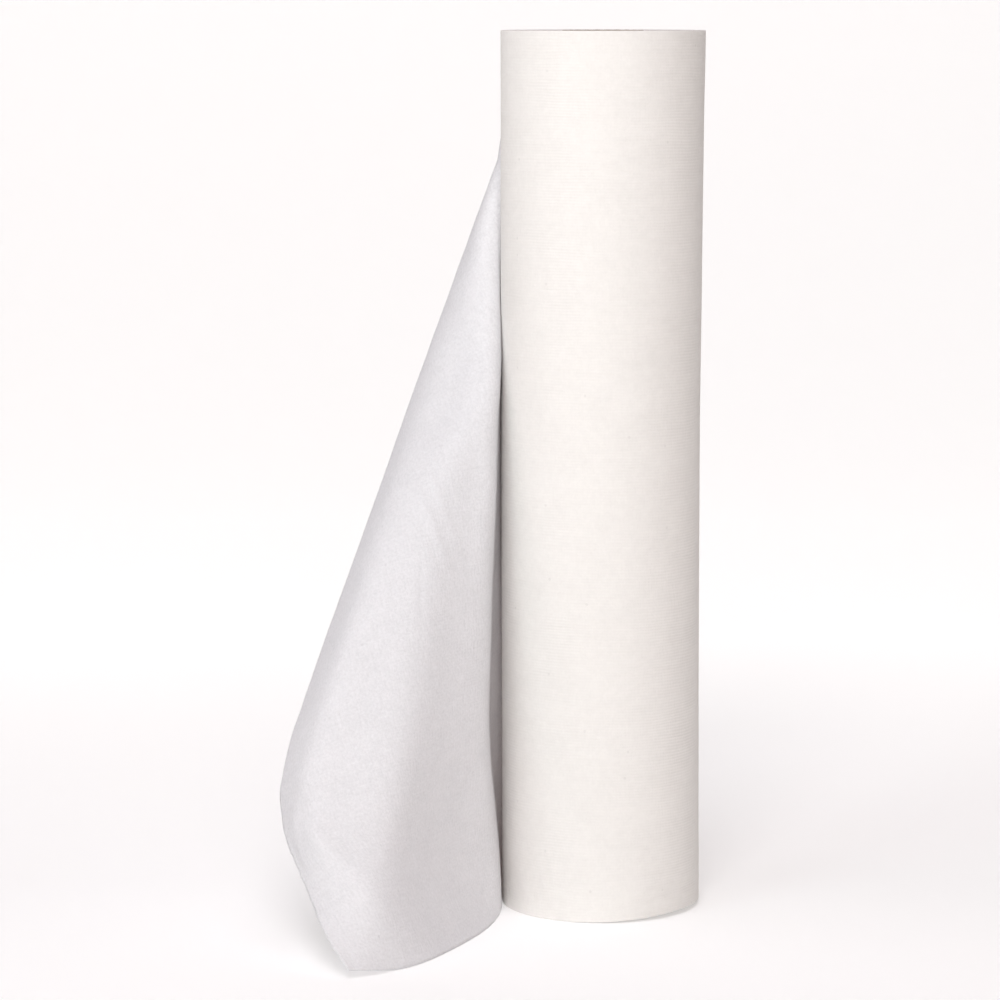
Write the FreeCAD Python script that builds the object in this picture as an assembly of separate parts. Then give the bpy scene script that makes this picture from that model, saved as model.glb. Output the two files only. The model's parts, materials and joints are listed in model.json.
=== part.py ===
import FreeCAD, Part
import math
import os
from FreeCAD import Vector

# Exam table paper roll, standing on end with its loose end drawn out.
# Millimetres.  Frame: the origin is on the roll's axis in the plane of its
# lower end, +Z runs up the axis, the loose end comes off the -X side and
# reaches forward along -Y.

os.makedirs("parts", exist_ok=True)

# ---- driving dimensions -------------------------------------------------
ROLL_LENGTH = 500.0          # width of the paper web, end to end
ROLL_RADIUS = 57.0           # outside of the outermost turn
CORE_OUTER_RADIUS = 23.0     # outside of the cardboard tube
CORE_BORE_RADIUS = 21.0      # hole through the tube, for the holder's rod
CORE_LENGTH = 500.0          # the tube is cut flush with the paper
LOOSE_THICKNESS = 0.4        # the loose end, thickened from one real ply

# Control points of the loose end's middle surface, one row per station
# along the web, each row from the web's lower edge to its upper edge.
# The first stations lie in the roll's skin, where the web is still wound.
LOOSE_END = [
    [(-9.7, 55.2, 0.6), (-9.7, 55.2, 10.4), (-9.7, 55.2, 29.9), (-9.7, 55.2, 59.2), (-9.7, 55.2, 88.6), (-9.7, 55.2, 117.9), (-9.7, 55.2, 147.2), (-9.7, 55.1, 176.5), (-9.7, 55.1, 205.8), (-9.7, 55.1, 235.1), (-9.7, 55.2, 264.5), (-9.7, 55.2, 293.8), (-9.7, 55.2, 323.1), (-9.7, 55.1, 352.4), (-9.7, 55.2, 381.7), (-9.7, 55.1, 411), (-9.7, 55.2, 440.4), (-9.7, 55.1, 469.7), (-9.7, 55.2, 489.2), (-9.8, 55.2, 499)],
    [(-13.8, 54.4, 0.6), (-13.8, 54.5, 10.4), (-13.8, 54.5, 29.9), (-13.6, 54.3, 59.2), (-13.8, 54.5, 88.6), (-13.8, 54.5, 117.9), (-13.7, 54.4, 147.2), (-13.8, 54.5, 176.5), (-13.8, 54.5, 205.8), (-13.8, 54.5, 235.2), (-13.8, 54.5, 264.5), (-13.7, 54.4, 293.8), (-13.9, 54.5, 323.1), (-13.6, 54.4, 352.4), (-14, 54.5, 381.8), (-13.5, 54.4, 411.1), (-14.1, 54.4, 440.5), (-13.6, 54.4, 469.7), (-14, 55.2, 489.4), (-13.4, 52, 499.3)],
    [(-21.7, 52.1, 0.6), (-21.7, 52.1, 10.4), (-21.6, 52.1, 29.9), (-22.1, 52.3, 59.2), (-21.6, 52.1, 88.6), (-21.7, 52, 117.8), (-21.8, 52.1, 147.2), (-21.7, 52.1, 176.5), (-21.8, 52.1, 205.8), (-21.7, 52.1, 235.1), (-21.7, 52.1, 264.4), (-21.8, 52.1, 293.7), (-21.6, 52.1, 323), (-22, 52.1, 352.3), (-21.2, 52, 381.6), (-22.3, 52.3, 411), (-20.9, 52, 440.2), (-22.3, 52.8, 469.6), (-20.7, 49.8, 488.8), (-23.2, 57, 498.8)],
    [(-32.5, 46.1, 0.6), (-32.5, 46.2, 10.4), (-32.7, 46.2, 29.9), (-31.9, 45.7, 59.2), (-32.8, 46.2, 88.5), (-32.5, 46.2, 117.8), (-32.5, 46, 147.1), (-32.7, 46.1, 176.4), (-32.7, 46.1, 205.7), (-32.7, 46.1, 234.9), (-32.8, 46.1, 264.2), (-32.4, 46.1, 293.5), (-32.7, 46.3, 322.8), (-31.9, 46, 352.1), (-33.1, 46.7, 381.6), (-31.1, 45.6, 410.8), (-33.7, 47.6, 440.4), (-30, 42.9, 468.9), (-37.7, 53.8, 489.4), (-33.2, 63.6, 493.2)],
    [(-41.9, 37.9, 0.6), (-41.8, 37.9, 10.3), (-41.2, 37.8, 29.9), (-44, 40.3, 59.1), (-40.9, 37.2, 88.5), (-42.1, 38, 117.7), (-42, 37.8, 147), (-42, 37.8, 176.3), (-42, 37.7, 205.5), (-42, 37.8, 234.8), (-41.7, 37.7, 264.1), (-42.2, 38, 293.4), (-41.1, 37.8, 322.6), (-42.6, 38.6, 352.2), (-39.5, 37.8, 381.2), (-44.1, 39.5, 411.3), (-37.1, 37.1, 438.9), (-49, 40, 472), (-44.9, 65.8, 479.2), (-39.6, 70.7, 484.3)],
    [(-49.2, 27.9, 0.6), (-47.7, 27.2, 10.3), (-50.9, 29.7, 29.8), (-51.7, 30, 59.1), (-50.9, 29.3, 88.4), (-48.6, 27.5, 117.6), (-49, 27.6, 146.9), (-49.2, 27.6, 176.1), (-49.4, 27.6, 205.4), (-49.3, 27.6, 234.7), (-49.7, 27.7, 264), (-48.5, 27.8, 293.2), (-49.8, 28.1, 322.8), (-46.8, 28.8, 351.5), (-51.5, 28.4, 382.3), (-44.7, 30, 408.8), (-52.6, 22.4, 444.4), (-60, 58.5, 459.4), (-44.3, 68.5, 469.5), (-43.6, 77.9, 474.3)],
    [(-54.1, 16.5, 0.6), (-52.6, 16.5, 10.3), (-57.3, 18.5, 29.7), (-57.2, 18.7, 58.9), (-57.2, 18.2, 88.3), (-56.2, 17.4, 117.5), (-54.5, 16.5, 146.8), (-54, 16.1, 176), (-54, 16.1, 205.2), (-53.8, 15.9, 234.6), (-53.4, 16.1, 263.8), (-54.8, 16.1, 293.4), (-52.7, 17.8, 322), (-55.9, 15.8, 353.1), (-50.9, 21, 379.1), (-54.4, 9.1, 414.5), (-64.2, 38.2, 433.2), (-51.7, 61.8, 447.6), (-51.1, 76.8, 460), (-45.5, 85, 463.9)],
    [(-56.1, 4.3, 0.6), (-56.8, 4.9, 10.3), (-59.1, 5.8, 29.6), (-60.6, 6.6, 58.8), (-61.8, 6.4, 88.1), (-60.7, 5.4, 117.4), (-60, 4.9, 146.6), (-59.3, 4.6, 175.8), (-58.6, 4.2, 205.1), (-57.3, 4.2, 234.3), (-57.8, 4, 263.8), (-55.2, 4.7, 292.9), (-57.2, 3.4, 323.1), (-54.7, 8.6, 350.7), (-54.7, -0.8, 383.5), (-74.8, 18.3, 408.4), (-54.5, 46.8, 419.1), (-58.1, 66.7, 439.9), (-50, 85.2, 448.1), (-47.3, 92, 453.7)],
    [(-56.3, -8, 0.6), (-57.5, -7.7, 10.3), (-58.4, -6.7, 29.7), (-61.1, -6.1, 58.7), (-64.2, -6.1, 87.9), (-64.4, -6.7, 117.2), (-63.1, -7.5, 146.4), (-62.5, -7.9, 175.6), (-61.3, -8.2, 204.9), (-60.5, -8.7, 234.2), (-59.1, -8.6, 263.6), (-60.6, -8.6, 293.2), (-54.4, -5.6, 321.9), (-55.9, -11.5, 353.6), (-77.2, 1, 380.1), (-69.9, 29.5, 395.3), (-63.7, 50.8, 412), (-57.2, 76.4, 427.7), (-52.6, 90.9, 438.7), (-48.6, 99.2, 443.2)],
    [(-57.1, -20.8, 0.6), (-57.3, -20.3, 10.3), (-57.6, -19.1, 29.7), (-60.1, -18.5, 58.8), (-64, -18.8, 87.7), (-64.6, -19.5, 116.9), (-63.5, -20.2, 146.1), (-62.9, -20.6, 175.2), (-61.8, -21.1, 204.6), (-60.3, -20.9, 233.8), (-60.5, -20.7, 263.3), (-56, -20.3, 292.4), (-57.7, -23.8, 324.2), (-76, -11.2, 349.3), (-78.7, 11.5, 369.6), (-74.6, 34.8, 386.4), (-66.2, 59.4, 401.7), (-61.2, 82.6, 418.5), (-53.2, 98.6, 427.7), (-49.7, 106.1, 432.7)],
    [(-57.9, -33.4, 0.6), (-56.3, -33.1, 10.3), (-59.1, -31.9, 29.7), (-61.3, -31.2, 58.4), (-62.8, -31.3, 87.5), (-64.9, -32, 116.5), (-62.9, -32.8, 145.6), (-62.6, -33.4, 174.9), (-61.8, -33.3, 203.9), (-59.4, -34.8, 233.6), (-59.1, -34.5, 262.6), (-61.8, -36.1, 293.9), (-74.7, -21.3, 318.9), (-82.6, -4.4, 341.5), (-85.5, 17.6, 361.5), (-76.1, 43, 375.9), (-70.9, 66, 392.7), (-61.3, 90.3, 407.5), (-54.1, 105.1, 417.4), (-50.1, 112.9, 422)],
    [(-59.7, -45.9, 0.6), (-58.8, -45.9, 10.5), (-66.8, -42.1, 28.8), (-67.2, -42.4, 57.8), (-64.6, -44.4, 87), (-65.2, -44.8, 116.1), (-64.2, -46, 145.3), (-65.1, -45.8, 174.4), (-64.1, -47.3, 203.8), (-67.3, -44.6, 232.9), (-71, -42.5, 261.9), (-76.6, -35.7, 290.4), (-82.9, -15.1, 311.5), (-92.6, -0.5, 335.4), (-86.8, 27.2, 350.5), (-80.2, 49.1, 366.9), (-72.5, 74.1, 382.2), (-62.3, 96.6, 397.3), (-54, 112.1, 406.5), (-50, 119.5, 411.3)],
    [(-62.2, -58.3, 0.6), (-65.1, -57, 9.9), (-71.9, -53.5, 27.9), (-75.2, -51.9, 57.3), (-72.8, -54.4, 86.5), (-70.7, -56.4, 115.6), (-72, -56.7, 145), (-73.4, -55.4, 173.7), (-76.2, -55.1, 203.6), (-78.9, -47.8, 230.5), (-83.6, -50.3, 262.1), (-86, -29.3, 283.5), (-94.8, -13.8, 306.6), (-98.2, 9, 326.2), (-89.4, 33.4, 341), (-83.2, 57.1, 356.9), (-73.7, 80.8, 371.9), (-62.3, 103.5, 386.4), (-53.5, 118.4, 395.8), (-49.4, 126, 400.5)],
    [(-65.5, -70.4, 0.6), (-69.9, -68.5, 9.2), (-77, -64.9, 27.4), (-81.9, -62.5, 56.6), (-80.3, -64.2, 86.1), (-79.3, -66, 115.2), (-80.7, -65.4, 144.4), (-83.5, -63.9, 173.5), (-85.1, -61.8, 202.3), (-88.7, -59.3, 231.2), (-96.3, -49.2, 258.6), (-97.5, -26.2, 277.8), (-103.7, -7.9, 299.7), (-100.5, 17.1, 315.9), (-92.8, 40.5, 331.4), (-84.9, 64.4, 346.7), (-74.1, 87.6, 361.3), (-61.6, 110, 375.6), (-52.6, 124.7, 384.9), (-48.4, 132.2, 389.6)],
    [(-69.4, -82.4, 0.6), (-74.3, -80.2, 9), (-82.2, -76.1, 26.9), (-88, -73.2, 56), (-87.1, -74.9, 85.7), (-87, -75.9, 114.8), (-89.6, -74.8, 144.1), (-91.8, -73.1, 172.8), (-95.1, -71, 202.1), (-102.2, -62.1, 229.5), (-107.8, -44.9, 253.3), (-109, -23.7, 273), (-109.5, 0.4, 290.3), (-103.3, 24, 306.3), (-95.4, 48, 321.4), (-85.6, 71.3, 336.2), (-73.7, 94.1, 350.6), (-60.3, 116.1, 364.7), (-51.3, 130.9, 374), (-46.9, 138.3, 378.7)],
    [(-73.9, -94.2, 0.6), (-79, -91.7, 8.8), (-87.3, -87.4, 26.5), (-94, -84.1, 55.6), (-93.7, -85.5, 85.3), (-95, -85.9, 114.6), (-96.9, -84.8, 143.6), (-101.3, -82.8, 172.8), (-108.1, -73.9, 200.1), (-114.4, -60.5, 225.5), (-119, -41.3, 247.9), (-116.4, -16.3, 264.1), (-113.7, 7.2, 281.1), (-105.6, 31.5, 296), (-96.8, 54.9, 311.1), (-85.2, 78, 325.4), (-72.4, 100.3, 339.7), (-58.6, 122.1, 353.7), (-49.6, 136.8, 363), (-45.1, 144.1, 367.7)],
    [(-78.9, -105.8, 0.6), (-84, -103.1, 8.8), (-92.3, -98.5, 26.4), (-99.4, -95.2, 55.4), (-100.6, -96.2, 85.1), (-101.6, -96.4, 114.3), (-106.6, -94.2, 143.4), (-114.5, -85.5, 170.6), (-120, -74.5, 196.8), (-127.1, -57.9, 221.2), (-124.5, -33, 238.1), (-122.4, -10.1, 255.7), (-115.7, 14.8, 270.6), (-107.6, 38.4, 285.9), (-96.4, 61.7, 300.2), (-84, 84.1, 314.5), (-70.4, 106.1, 328.6), (-56.5, 127.8, 342.7), (-47.4, 142.4, 352), (-42.9, 149.8, 356.7)],
    [(-84.2, -117.2, 0.6), (-89.1, -114.5, 9), (-97, -109.8, 26.5), (-105.3, -106.1, 55.4), (-106.2, -107.1, 85), (-110.3, -106.9, 114.5), (-120.3, -96.5, 141.1), (-125.6, -86.6, 167.2), (-134.1, -74.6, 194.1), (-133.2, -49.2, 211.6), (-131.3, -27.2, 230), (-125.3, -2.3, 245.3), (-117.8, 21.6, 260.5), (-107.4, 45.1, 275), (-95, 67.7, 289.3), (-81.7, 89.7, 303.5), (-67.8, 111.5, 317.6), (-53.9, 133.2, 331.6), (-44.9, 147.9, 341), (-40.4, 155.3, 345.6)],
    [(-89.7, -128.6, 0.7), (-94.4, -125.6, 9), (-102.3, -120.9, 27), (-110.5, -116.8, 55.5), (-113.4, -118.4, 85.2), (-124.4, -110.4, 112.7), (-130.8, -96.9, 136.9), (-140.3, -90.6, 166.3), (-142, -65.9, 185.1), (-139.1, -43.3, 203.1), (-135.5, -19.5, 220.2), (-127, 4.6, 235), (-118, 28.3, 249.8), (-105.6, 51, 264), (-92.4, 73.1, 278.3), (-78.6, 94.9, 292.4), (-64.7, 116.6, 306.6), (-50.9, 138.5, 320.6), (-41.9, 153.2, 329.9), (-37.4, 160.5, 334.6)],
    [(-95.7, -139.7, 0.6), (-99, -137.1, 9.7), (-107.6, -131.5, 27.7), (-114.7, -128.7, 56.6), (-126.8, -125.1, 84.5), (-135.7, -109, 107.8), (-144.1, -103, 136.1), (-151.8, -84.5, 159.8), (-146, -58.7, 175.3), (-145.8, -36.8, 194.6), (-136.9, -12.1, 209.5), (-127.8, 11.1, 224.5), (-115.8, 34.3, 238.6), (-102.6, 56.2, 253), (-88.6, 77.9, 267.2), (-74.9, 99.6, 281.4), (-61.1, 121.5, 295.5), (-47.6, 143.4, 309.5), (-38.6, 158.2, 318.9), (-34.2, 165.6, 323.5)],
    [(-102.2, -150.5, 0.9), (-106.3, -147.5, 9.9), (-111.3, -141.9, 29), (-123.5, -139.2, 57.8), (-140.2, -124.9, 79.6), (-146.3, -113.7, 105.6), (-158.6, -102, 132.3), (-155.2, -75.1, 148.9), (-153.7, -53.4, 167.7), (-148.5, -28.6, 184.2), (-137.4, -5.7, 198.8), (-125.8, 17.3, 213.3), (-112.3, 39.2, 227.6), (-98.2, 60.6, 242), (-84.2, 82.2, 256.3), (-70.6, 104, 270.4), (-57.1, 126.1, 284.5), (-43.9, 148.2, 298.5), (-35, 163, 307.8), (-30.6, 170.4, 312.5)],
    [(-111.1, -159.5, 0.4), (-114.2, -156, 9.9), (-116.5, -153.8, 31.4), (-135.8, -144, 56.4), (-151.2, -128, 75.6), (-161, -117.7, 104.1), (-165.7, -92.7, 122.4), (-160.4, -69.8, 140.5), (-160, -45.6, 158.6), (-148, -21.9, 173.1), (-135.8, 0.3, 187.9), (-121.9, 22.2, 202.2), (-107.6, 43.3, 216.7), (-93.1, 64.5, 231.1), (-79.3, 86.1, 245.4), (-66, 108.2, 259.5), (-52.9, 130.5, 273.5), (-39.9, 152.8, 287.5), (-31.2, 167.7, 296.8), (-26.8, 175.1, 301.5)],
    [(-119.8, -167.8, 2.1), (-122.5, -165.3, 11.6), (-127.7, -158.7, 30.1), (-147, -145.6, 52.3), (-165.8, -132.6, 73.4), (-169.1, -108.6, 94.6), (-170.4, -87.2, 113.7), (-168.4, -62.3, 132.1), (-159.3, -38.4, 147.3), (-145.4, -16.3, 162), (-131.8, 5.1, 176.8), (-116.9, 26.1, 191.3), (-102.1, 46.9, 206), (-87.6, 68, 220.4), (-74, 89.9, 234.6), (-61.1, 112.3, 248.6), (-48.4, 134.8, 262.6), (-35.6, 157.2, 276.5), (-27, 172.2, 285.8), (-22.7, 179.7, 290.5)],
    [(-128.7, -175.4, 4.2), (-131.7, -171, 12.3), (-142.6, -162.2, 27.3), (-152.2, -138.2, 42.8), (-172.7, -124.1, 63.5), (-173, -102.8, 85.7), (-178.9, -79.8, 105.8), (-169.7, -54.8, 121.6), (-155.2, -33.1, 136.1), (-141.6, -11.8, 151.4), (-126.4, 9, 165.9), (-111.5, 29.6, 180.7), (-96.2, 50.1, 195.3), (-81.9, 71.4, 209.7), (-68.7, 93.6, 223.8), (-56.2, 116.2, 237.7), (-43.8, 139, 251.7), (-31.3, 161.6, 265.6), (-22.8, 176.6, 274.9), (-18.5, 184.1, 279.5)],
    [(-135.4, -178.9, 4.9), (-139.8, -174.6, 12.4), (-149.6, -162.7, 23.9), (-158.3, -136.3, 37), (-172.3, -118.7, 58.5), (-178.5, -98.2, 79.7), (-179.3, -74.4, 99), (-166.6, -51, 113.9), (-152.7, -30.1, 129.1), (-137.6, -9.2, 144), (-122.9, 11.4, 158.9), (-107.6, 31.9, 173.5), (-92.4, 52.3, 188.2), (-78.1, 73.7, 202.6), (-65.1, 96, 216.7), (-52.9, 118.9, 230.5), (-40.7, 141.8, 244.4), (-28.4, 164.5, 258.2), (-19.9, 179.5, 267.5), (-15.6, 187.1, 272.2)],
    [(-138.6, -180.8, 5.4), (-143.5, -176.5, 12.4), (-153.7, -163.4, 22.4), (-160.6, -134.6, 33.5), (-173.6, -116, 55.2), (-181.1, -95.9, 77), (-178.2, -71.9, 95.3), (-166.3, -49.1, 110.5), (-150.8, -28.6, 125.4), (-136, -8, 140.5), (-121, 12.6, 155.3), (-105.7, 33, 170), (-90.4, 53.4, 184.7), (-76.2, 74.8, 199.1), (-63.3, 97.2, 213.1), (-51.2, 120.2, 226.9), (-39.2, 143.2, 240.7), (-26.9, 165.9, 254.6), (-18.4, 181, 263.9), (-14.2, 188.5, 268.5)],
]


DEGREE = 3


def clamped_knots(count):
    spans = count - DEGREE
    knots = [i / spans for i in range(spans + 1)]
    mults = [DEGREE + 1] + [1] * (spans - 1) + [DEGREE + 1]
    return knots, mults


def greville(count):
    knots, mults = clamped_knots(count)
    flat = []
    for k, m in zip(knots, mults):
        flat += [k] * m
    return [sum(flat[i + 1:i + 1 + DEGREE]) / DEGREE for i in range(count)]


def web_surface(poles):
    ku, mu = clamped_knots(len(poles))
    kv, mv = clamped_knots(len(poles[0]))
    s = Part.BSplineSurface()
    s.buildFromPolesMultsKnots(poles, mu, mv, ku, kv, False, False, DEGREE, DEGREE)
    return s


def shifted(poles, surface, distance):
    gu = greville(len(poles))
    gv = greville(len(poles[0]))
    out = []
    for i, row in enumerate(poles):
        line = []
        for j, p in enumerate(row):
            n = surface.normal(gu[i], gv[j])
            line.append(p + n * distance)
        out.append(line)
    return out


def loose_end():
    poles = [[Vector(*p) for p in row] for row in LOOSE_END]
    middle = web_surface(poles)
    front = web_surface(shifted(poles, middle, LOOSE_THICKNESS / 2))
    back = web_surface(shifted(poles, middle, -LOOSE_THICKNESS / 2))
    faces = [front.toShape(), back.toShape()]
    f, b = front.getPoles(), back.getPoles()
    rims = [
        (f[0], b[0]),
        (f[-1], b[-1]),
        ([r[0] for r in f], [r[0] for r in b]),
        ([r[-1] for r in f], [r[-1] for r in b]),
    ]
    for pair in rims:
        knots, mults = clamped_knots(len(pair[0]))
        s = Part.BSplineSurface()
        s.buildFromPolesMultsKnots(
            [list(pair[0]), list(pair[1])], [2, 2], mults, [0.0, 1.0], knots,
            False, False, 1, DEGREE)
        faces.append(s.toShape())
    shell = Part.makeShell(faces)
    shell.sewShape()
    if shell.ShapeType != "Shell":
        shell = shell.Shells[0]
    solid = Part.makeSolid(shell)
    if solid.Volume < 0:
        solid.reverse()
    return solid


# ---- the wound turns and the loose end, one web of paper ----------------
turns = Part.makeCylinder(ROLL_RADIUS, ROLL_LENGTH)
turns = turns.cut(Part.makeCylinder(CORE_OUTER_RADIUS, ROLL_LENGTH))
paper_web = turns.fuse(loose_end())
if paper_web.ShapeType != "Solid":
    paper_web = max(paper_web.Solids, key=lambda x: x.Volume)

# ---- cardboard tube at the centre ---------------------------------------
core_tube = Part.makeCylinder(CORE_OUTER_RADIUS, CORE_LENGTH)
core_tube = core_tube.cut(Part.makeCylinder(CORE_BORE_RADIUS, CORE_LENGTH))

paper_web.exportStep("parts/paper_web.step")
core_tube.exportStep("parts/core_tube.step")
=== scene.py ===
import json
import math
import bpy
import numpy as np
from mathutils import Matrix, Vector


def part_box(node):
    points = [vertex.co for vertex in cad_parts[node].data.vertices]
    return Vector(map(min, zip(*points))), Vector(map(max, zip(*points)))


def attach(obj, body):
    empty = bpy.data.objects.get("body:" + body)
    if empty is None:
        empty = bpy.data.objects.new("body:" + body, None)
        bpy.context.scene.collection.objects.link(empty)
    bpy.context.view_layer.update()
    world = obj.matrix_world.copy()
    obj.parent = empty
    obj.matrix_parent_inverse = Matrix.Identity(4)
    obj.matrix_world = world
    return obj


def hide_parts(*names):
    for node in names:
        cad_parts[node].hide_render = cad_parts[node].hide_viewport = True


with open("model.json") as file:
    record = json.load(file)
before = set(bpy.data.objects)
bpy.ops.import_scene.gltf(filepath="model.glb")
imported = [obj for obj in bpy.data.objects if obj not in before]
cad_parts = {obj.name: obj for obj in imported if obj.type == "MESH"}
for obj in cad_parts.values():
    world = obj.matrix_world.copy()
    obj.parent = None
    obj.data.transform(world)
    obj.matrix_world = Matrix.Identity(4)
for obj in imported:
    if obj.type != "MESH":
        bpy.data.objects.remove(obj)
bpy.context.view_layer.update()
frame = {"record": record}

# Exam table paper roll on end with its loose end drawn out.  Metres, the CAD's frame.

rng = np.random.default_rng(7)
MM = 0.001

lo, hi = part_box("core_tube")
ROLL_H = float(hi[2])                  # web width
CORE_R = float(hi[0])                  # outside of the tube
BORE_R = 0.021
for m in frame["record"]["mounts"]:
    if m["name"] == "core_bore":
        BORE_R = m["dims"]["r_mm"] * MM
wlo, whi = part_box("paper_web")
ROLL_R = float(whi[0])                 # outermost turn

# the roll's true radius and its lean, by height (mm): slightly fuller at the top
PROFILE = np.array([(0, 56.9, 0.20), (15, 56.85, 0.18), (68, 56.73, -0.06), (117, 56.62, -0.29), (161, 56.57, -0.45),
                    (213, 56.54, -0.60), (282, 56.61, -0.69), (317, 56.76, -0.62), (351, 56.96, -0.50),
                    (385, 57.11, -0.43), (430, 57.32, -0.33), (464, 57.49, -0.24), (497, 57.72, -0.08), (500, 57.74, -0.06)])


def roll_r(z_mm):
    return np.interp(z_mm, PROFILE[:, 0], PROFILE[:, 1])


def roll_cx(z_mm):
    return np.interp(z_mm, PROFILE[:, 0], PROFILE[:, 2])


# smooth band-limited noise, periodic in its first coordinate
def waves(a, b, pa, pb, count, seed, power=1.0):
    g = np.random.default_rng(seed)
    out = np.zeros(np.broadcast(a, b).shape)
    for k in range(count):
        ka = int(g.integers(pa[0], pa[1] + 1))
        kb = g.uniform(pb[0], pb[1])
        amp = 1.0 / max(1.0, math.hypot(ka, kb)) ** power
        out = out + amp * np.sin(ka * a + kb * b * 2 * math.pi + g.uniform(0, 6.283))
    return out / max(1e-9, np.abs(out).max())


# ---------------------------------------------------------------- helpers
def mesh_object(name, verts, quads, uvs=None, smooth=True):
    me = bpy.data.meshes.new(name)
    me.vertices.add(len(verts))
    me.vertices.foreach_set("co", np.asarray(verts, dtype=np.float32).ravel())
    quads = np.asarray(quads, dtype=np.int32)
    me.loops.add(quads.size)
    me.loops.foreach_set("vertex_index", quads.ravel())
    me.polygons.add(len(quads))
    me.polygons.foreach_set("loop_start", np.arange(0, quads.size, 4, dtype=np.int32))
    me.polygons.foreach_set("loop_total", np.full(len(quads), 4, dtype=np.int32))
    me.polygons.foreach_set("use_smooth", np.full(len(quads), smooth))
    if uvs is not None:
        layer = me.uv_layers.new(name="web")
        layer.data.foreach_set("uv", np.asarray(uvs, dtype=np.float32).ravel())
    me.update(calc_edges=True)
    me.validate()
    ob = bpy.data.objects.new(name, me)
    bpy.context.scene.collection.objects.link(ob)
    return ob


def grid_quads(n, m, close_n=False, flip=False, base=0):
    i = np.arange(n if close_n else n - 1)
    j = np.arange(m - 1)
    I, J = np.meshgrid(i, j, indexing="ij")
    I2 = (I + 1) % n
    q = np.stack([I * m + J, I2 * m + J, I2 * m + J + 1, I * m + J + 1], -1).reshape(-1, 4)
    if flip:
        q = q[:, ::-1]
    return q + base


def node(nt, kind, x=0, y=0, **kw):
    n = nt.nodes.new(kind)
    n.location = (x, y)
    for k, v in kw.items():
        setattr(n, k, v)
    return n


def link(nt, a, b):
    nt.links.new(a, b)


def math_node(nt, op, a, b=None, c=None, clamp=False):
    n = nt.nodes.new("ShaderNodeMath")
    n.operation = op
    n.use_clamp = clamp
    for k, v in enumerate((a, b, c)):
        if v is None:
            continue
        if isinstance(v, (int, float)):
            n.inputs[k].default_value = float(v)
        else:
            nt.links.new(v, n.inputs[k])
    return n.outputs[0]


def noise(nt, vec, scale, detail=2.0, rough=0.5, dims="2D", dist=0.0):
    n = nt.nodes.new("ShaderNodeTexNoise")
    n.noise_dimensions = dims
    n.inputs["Scale"].default_value = scale
    n.inputs["Detail"].default_value = detail
    n.inputs["Roughness"].default_value = rough
    n.inputs["Distortion"].default_value = dist
    nt.links.new(vec, n.inputs["Vector"])
    return n.outputs[0]


def mapped(nt, vec, sx, sy, sz=1.0, ox=0.0, oy=0.0):
    n = nt.nodes.new("ShaderNodeMapping")
    n.inputs["Scale"].default_value = (sx, sy, sz)
    n.inputs["Location"].default_value = (ox, oy, 0.0)
    nt.links.new(vec, n.inputs["Vector"])
    return n.outputs[0]


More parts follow.
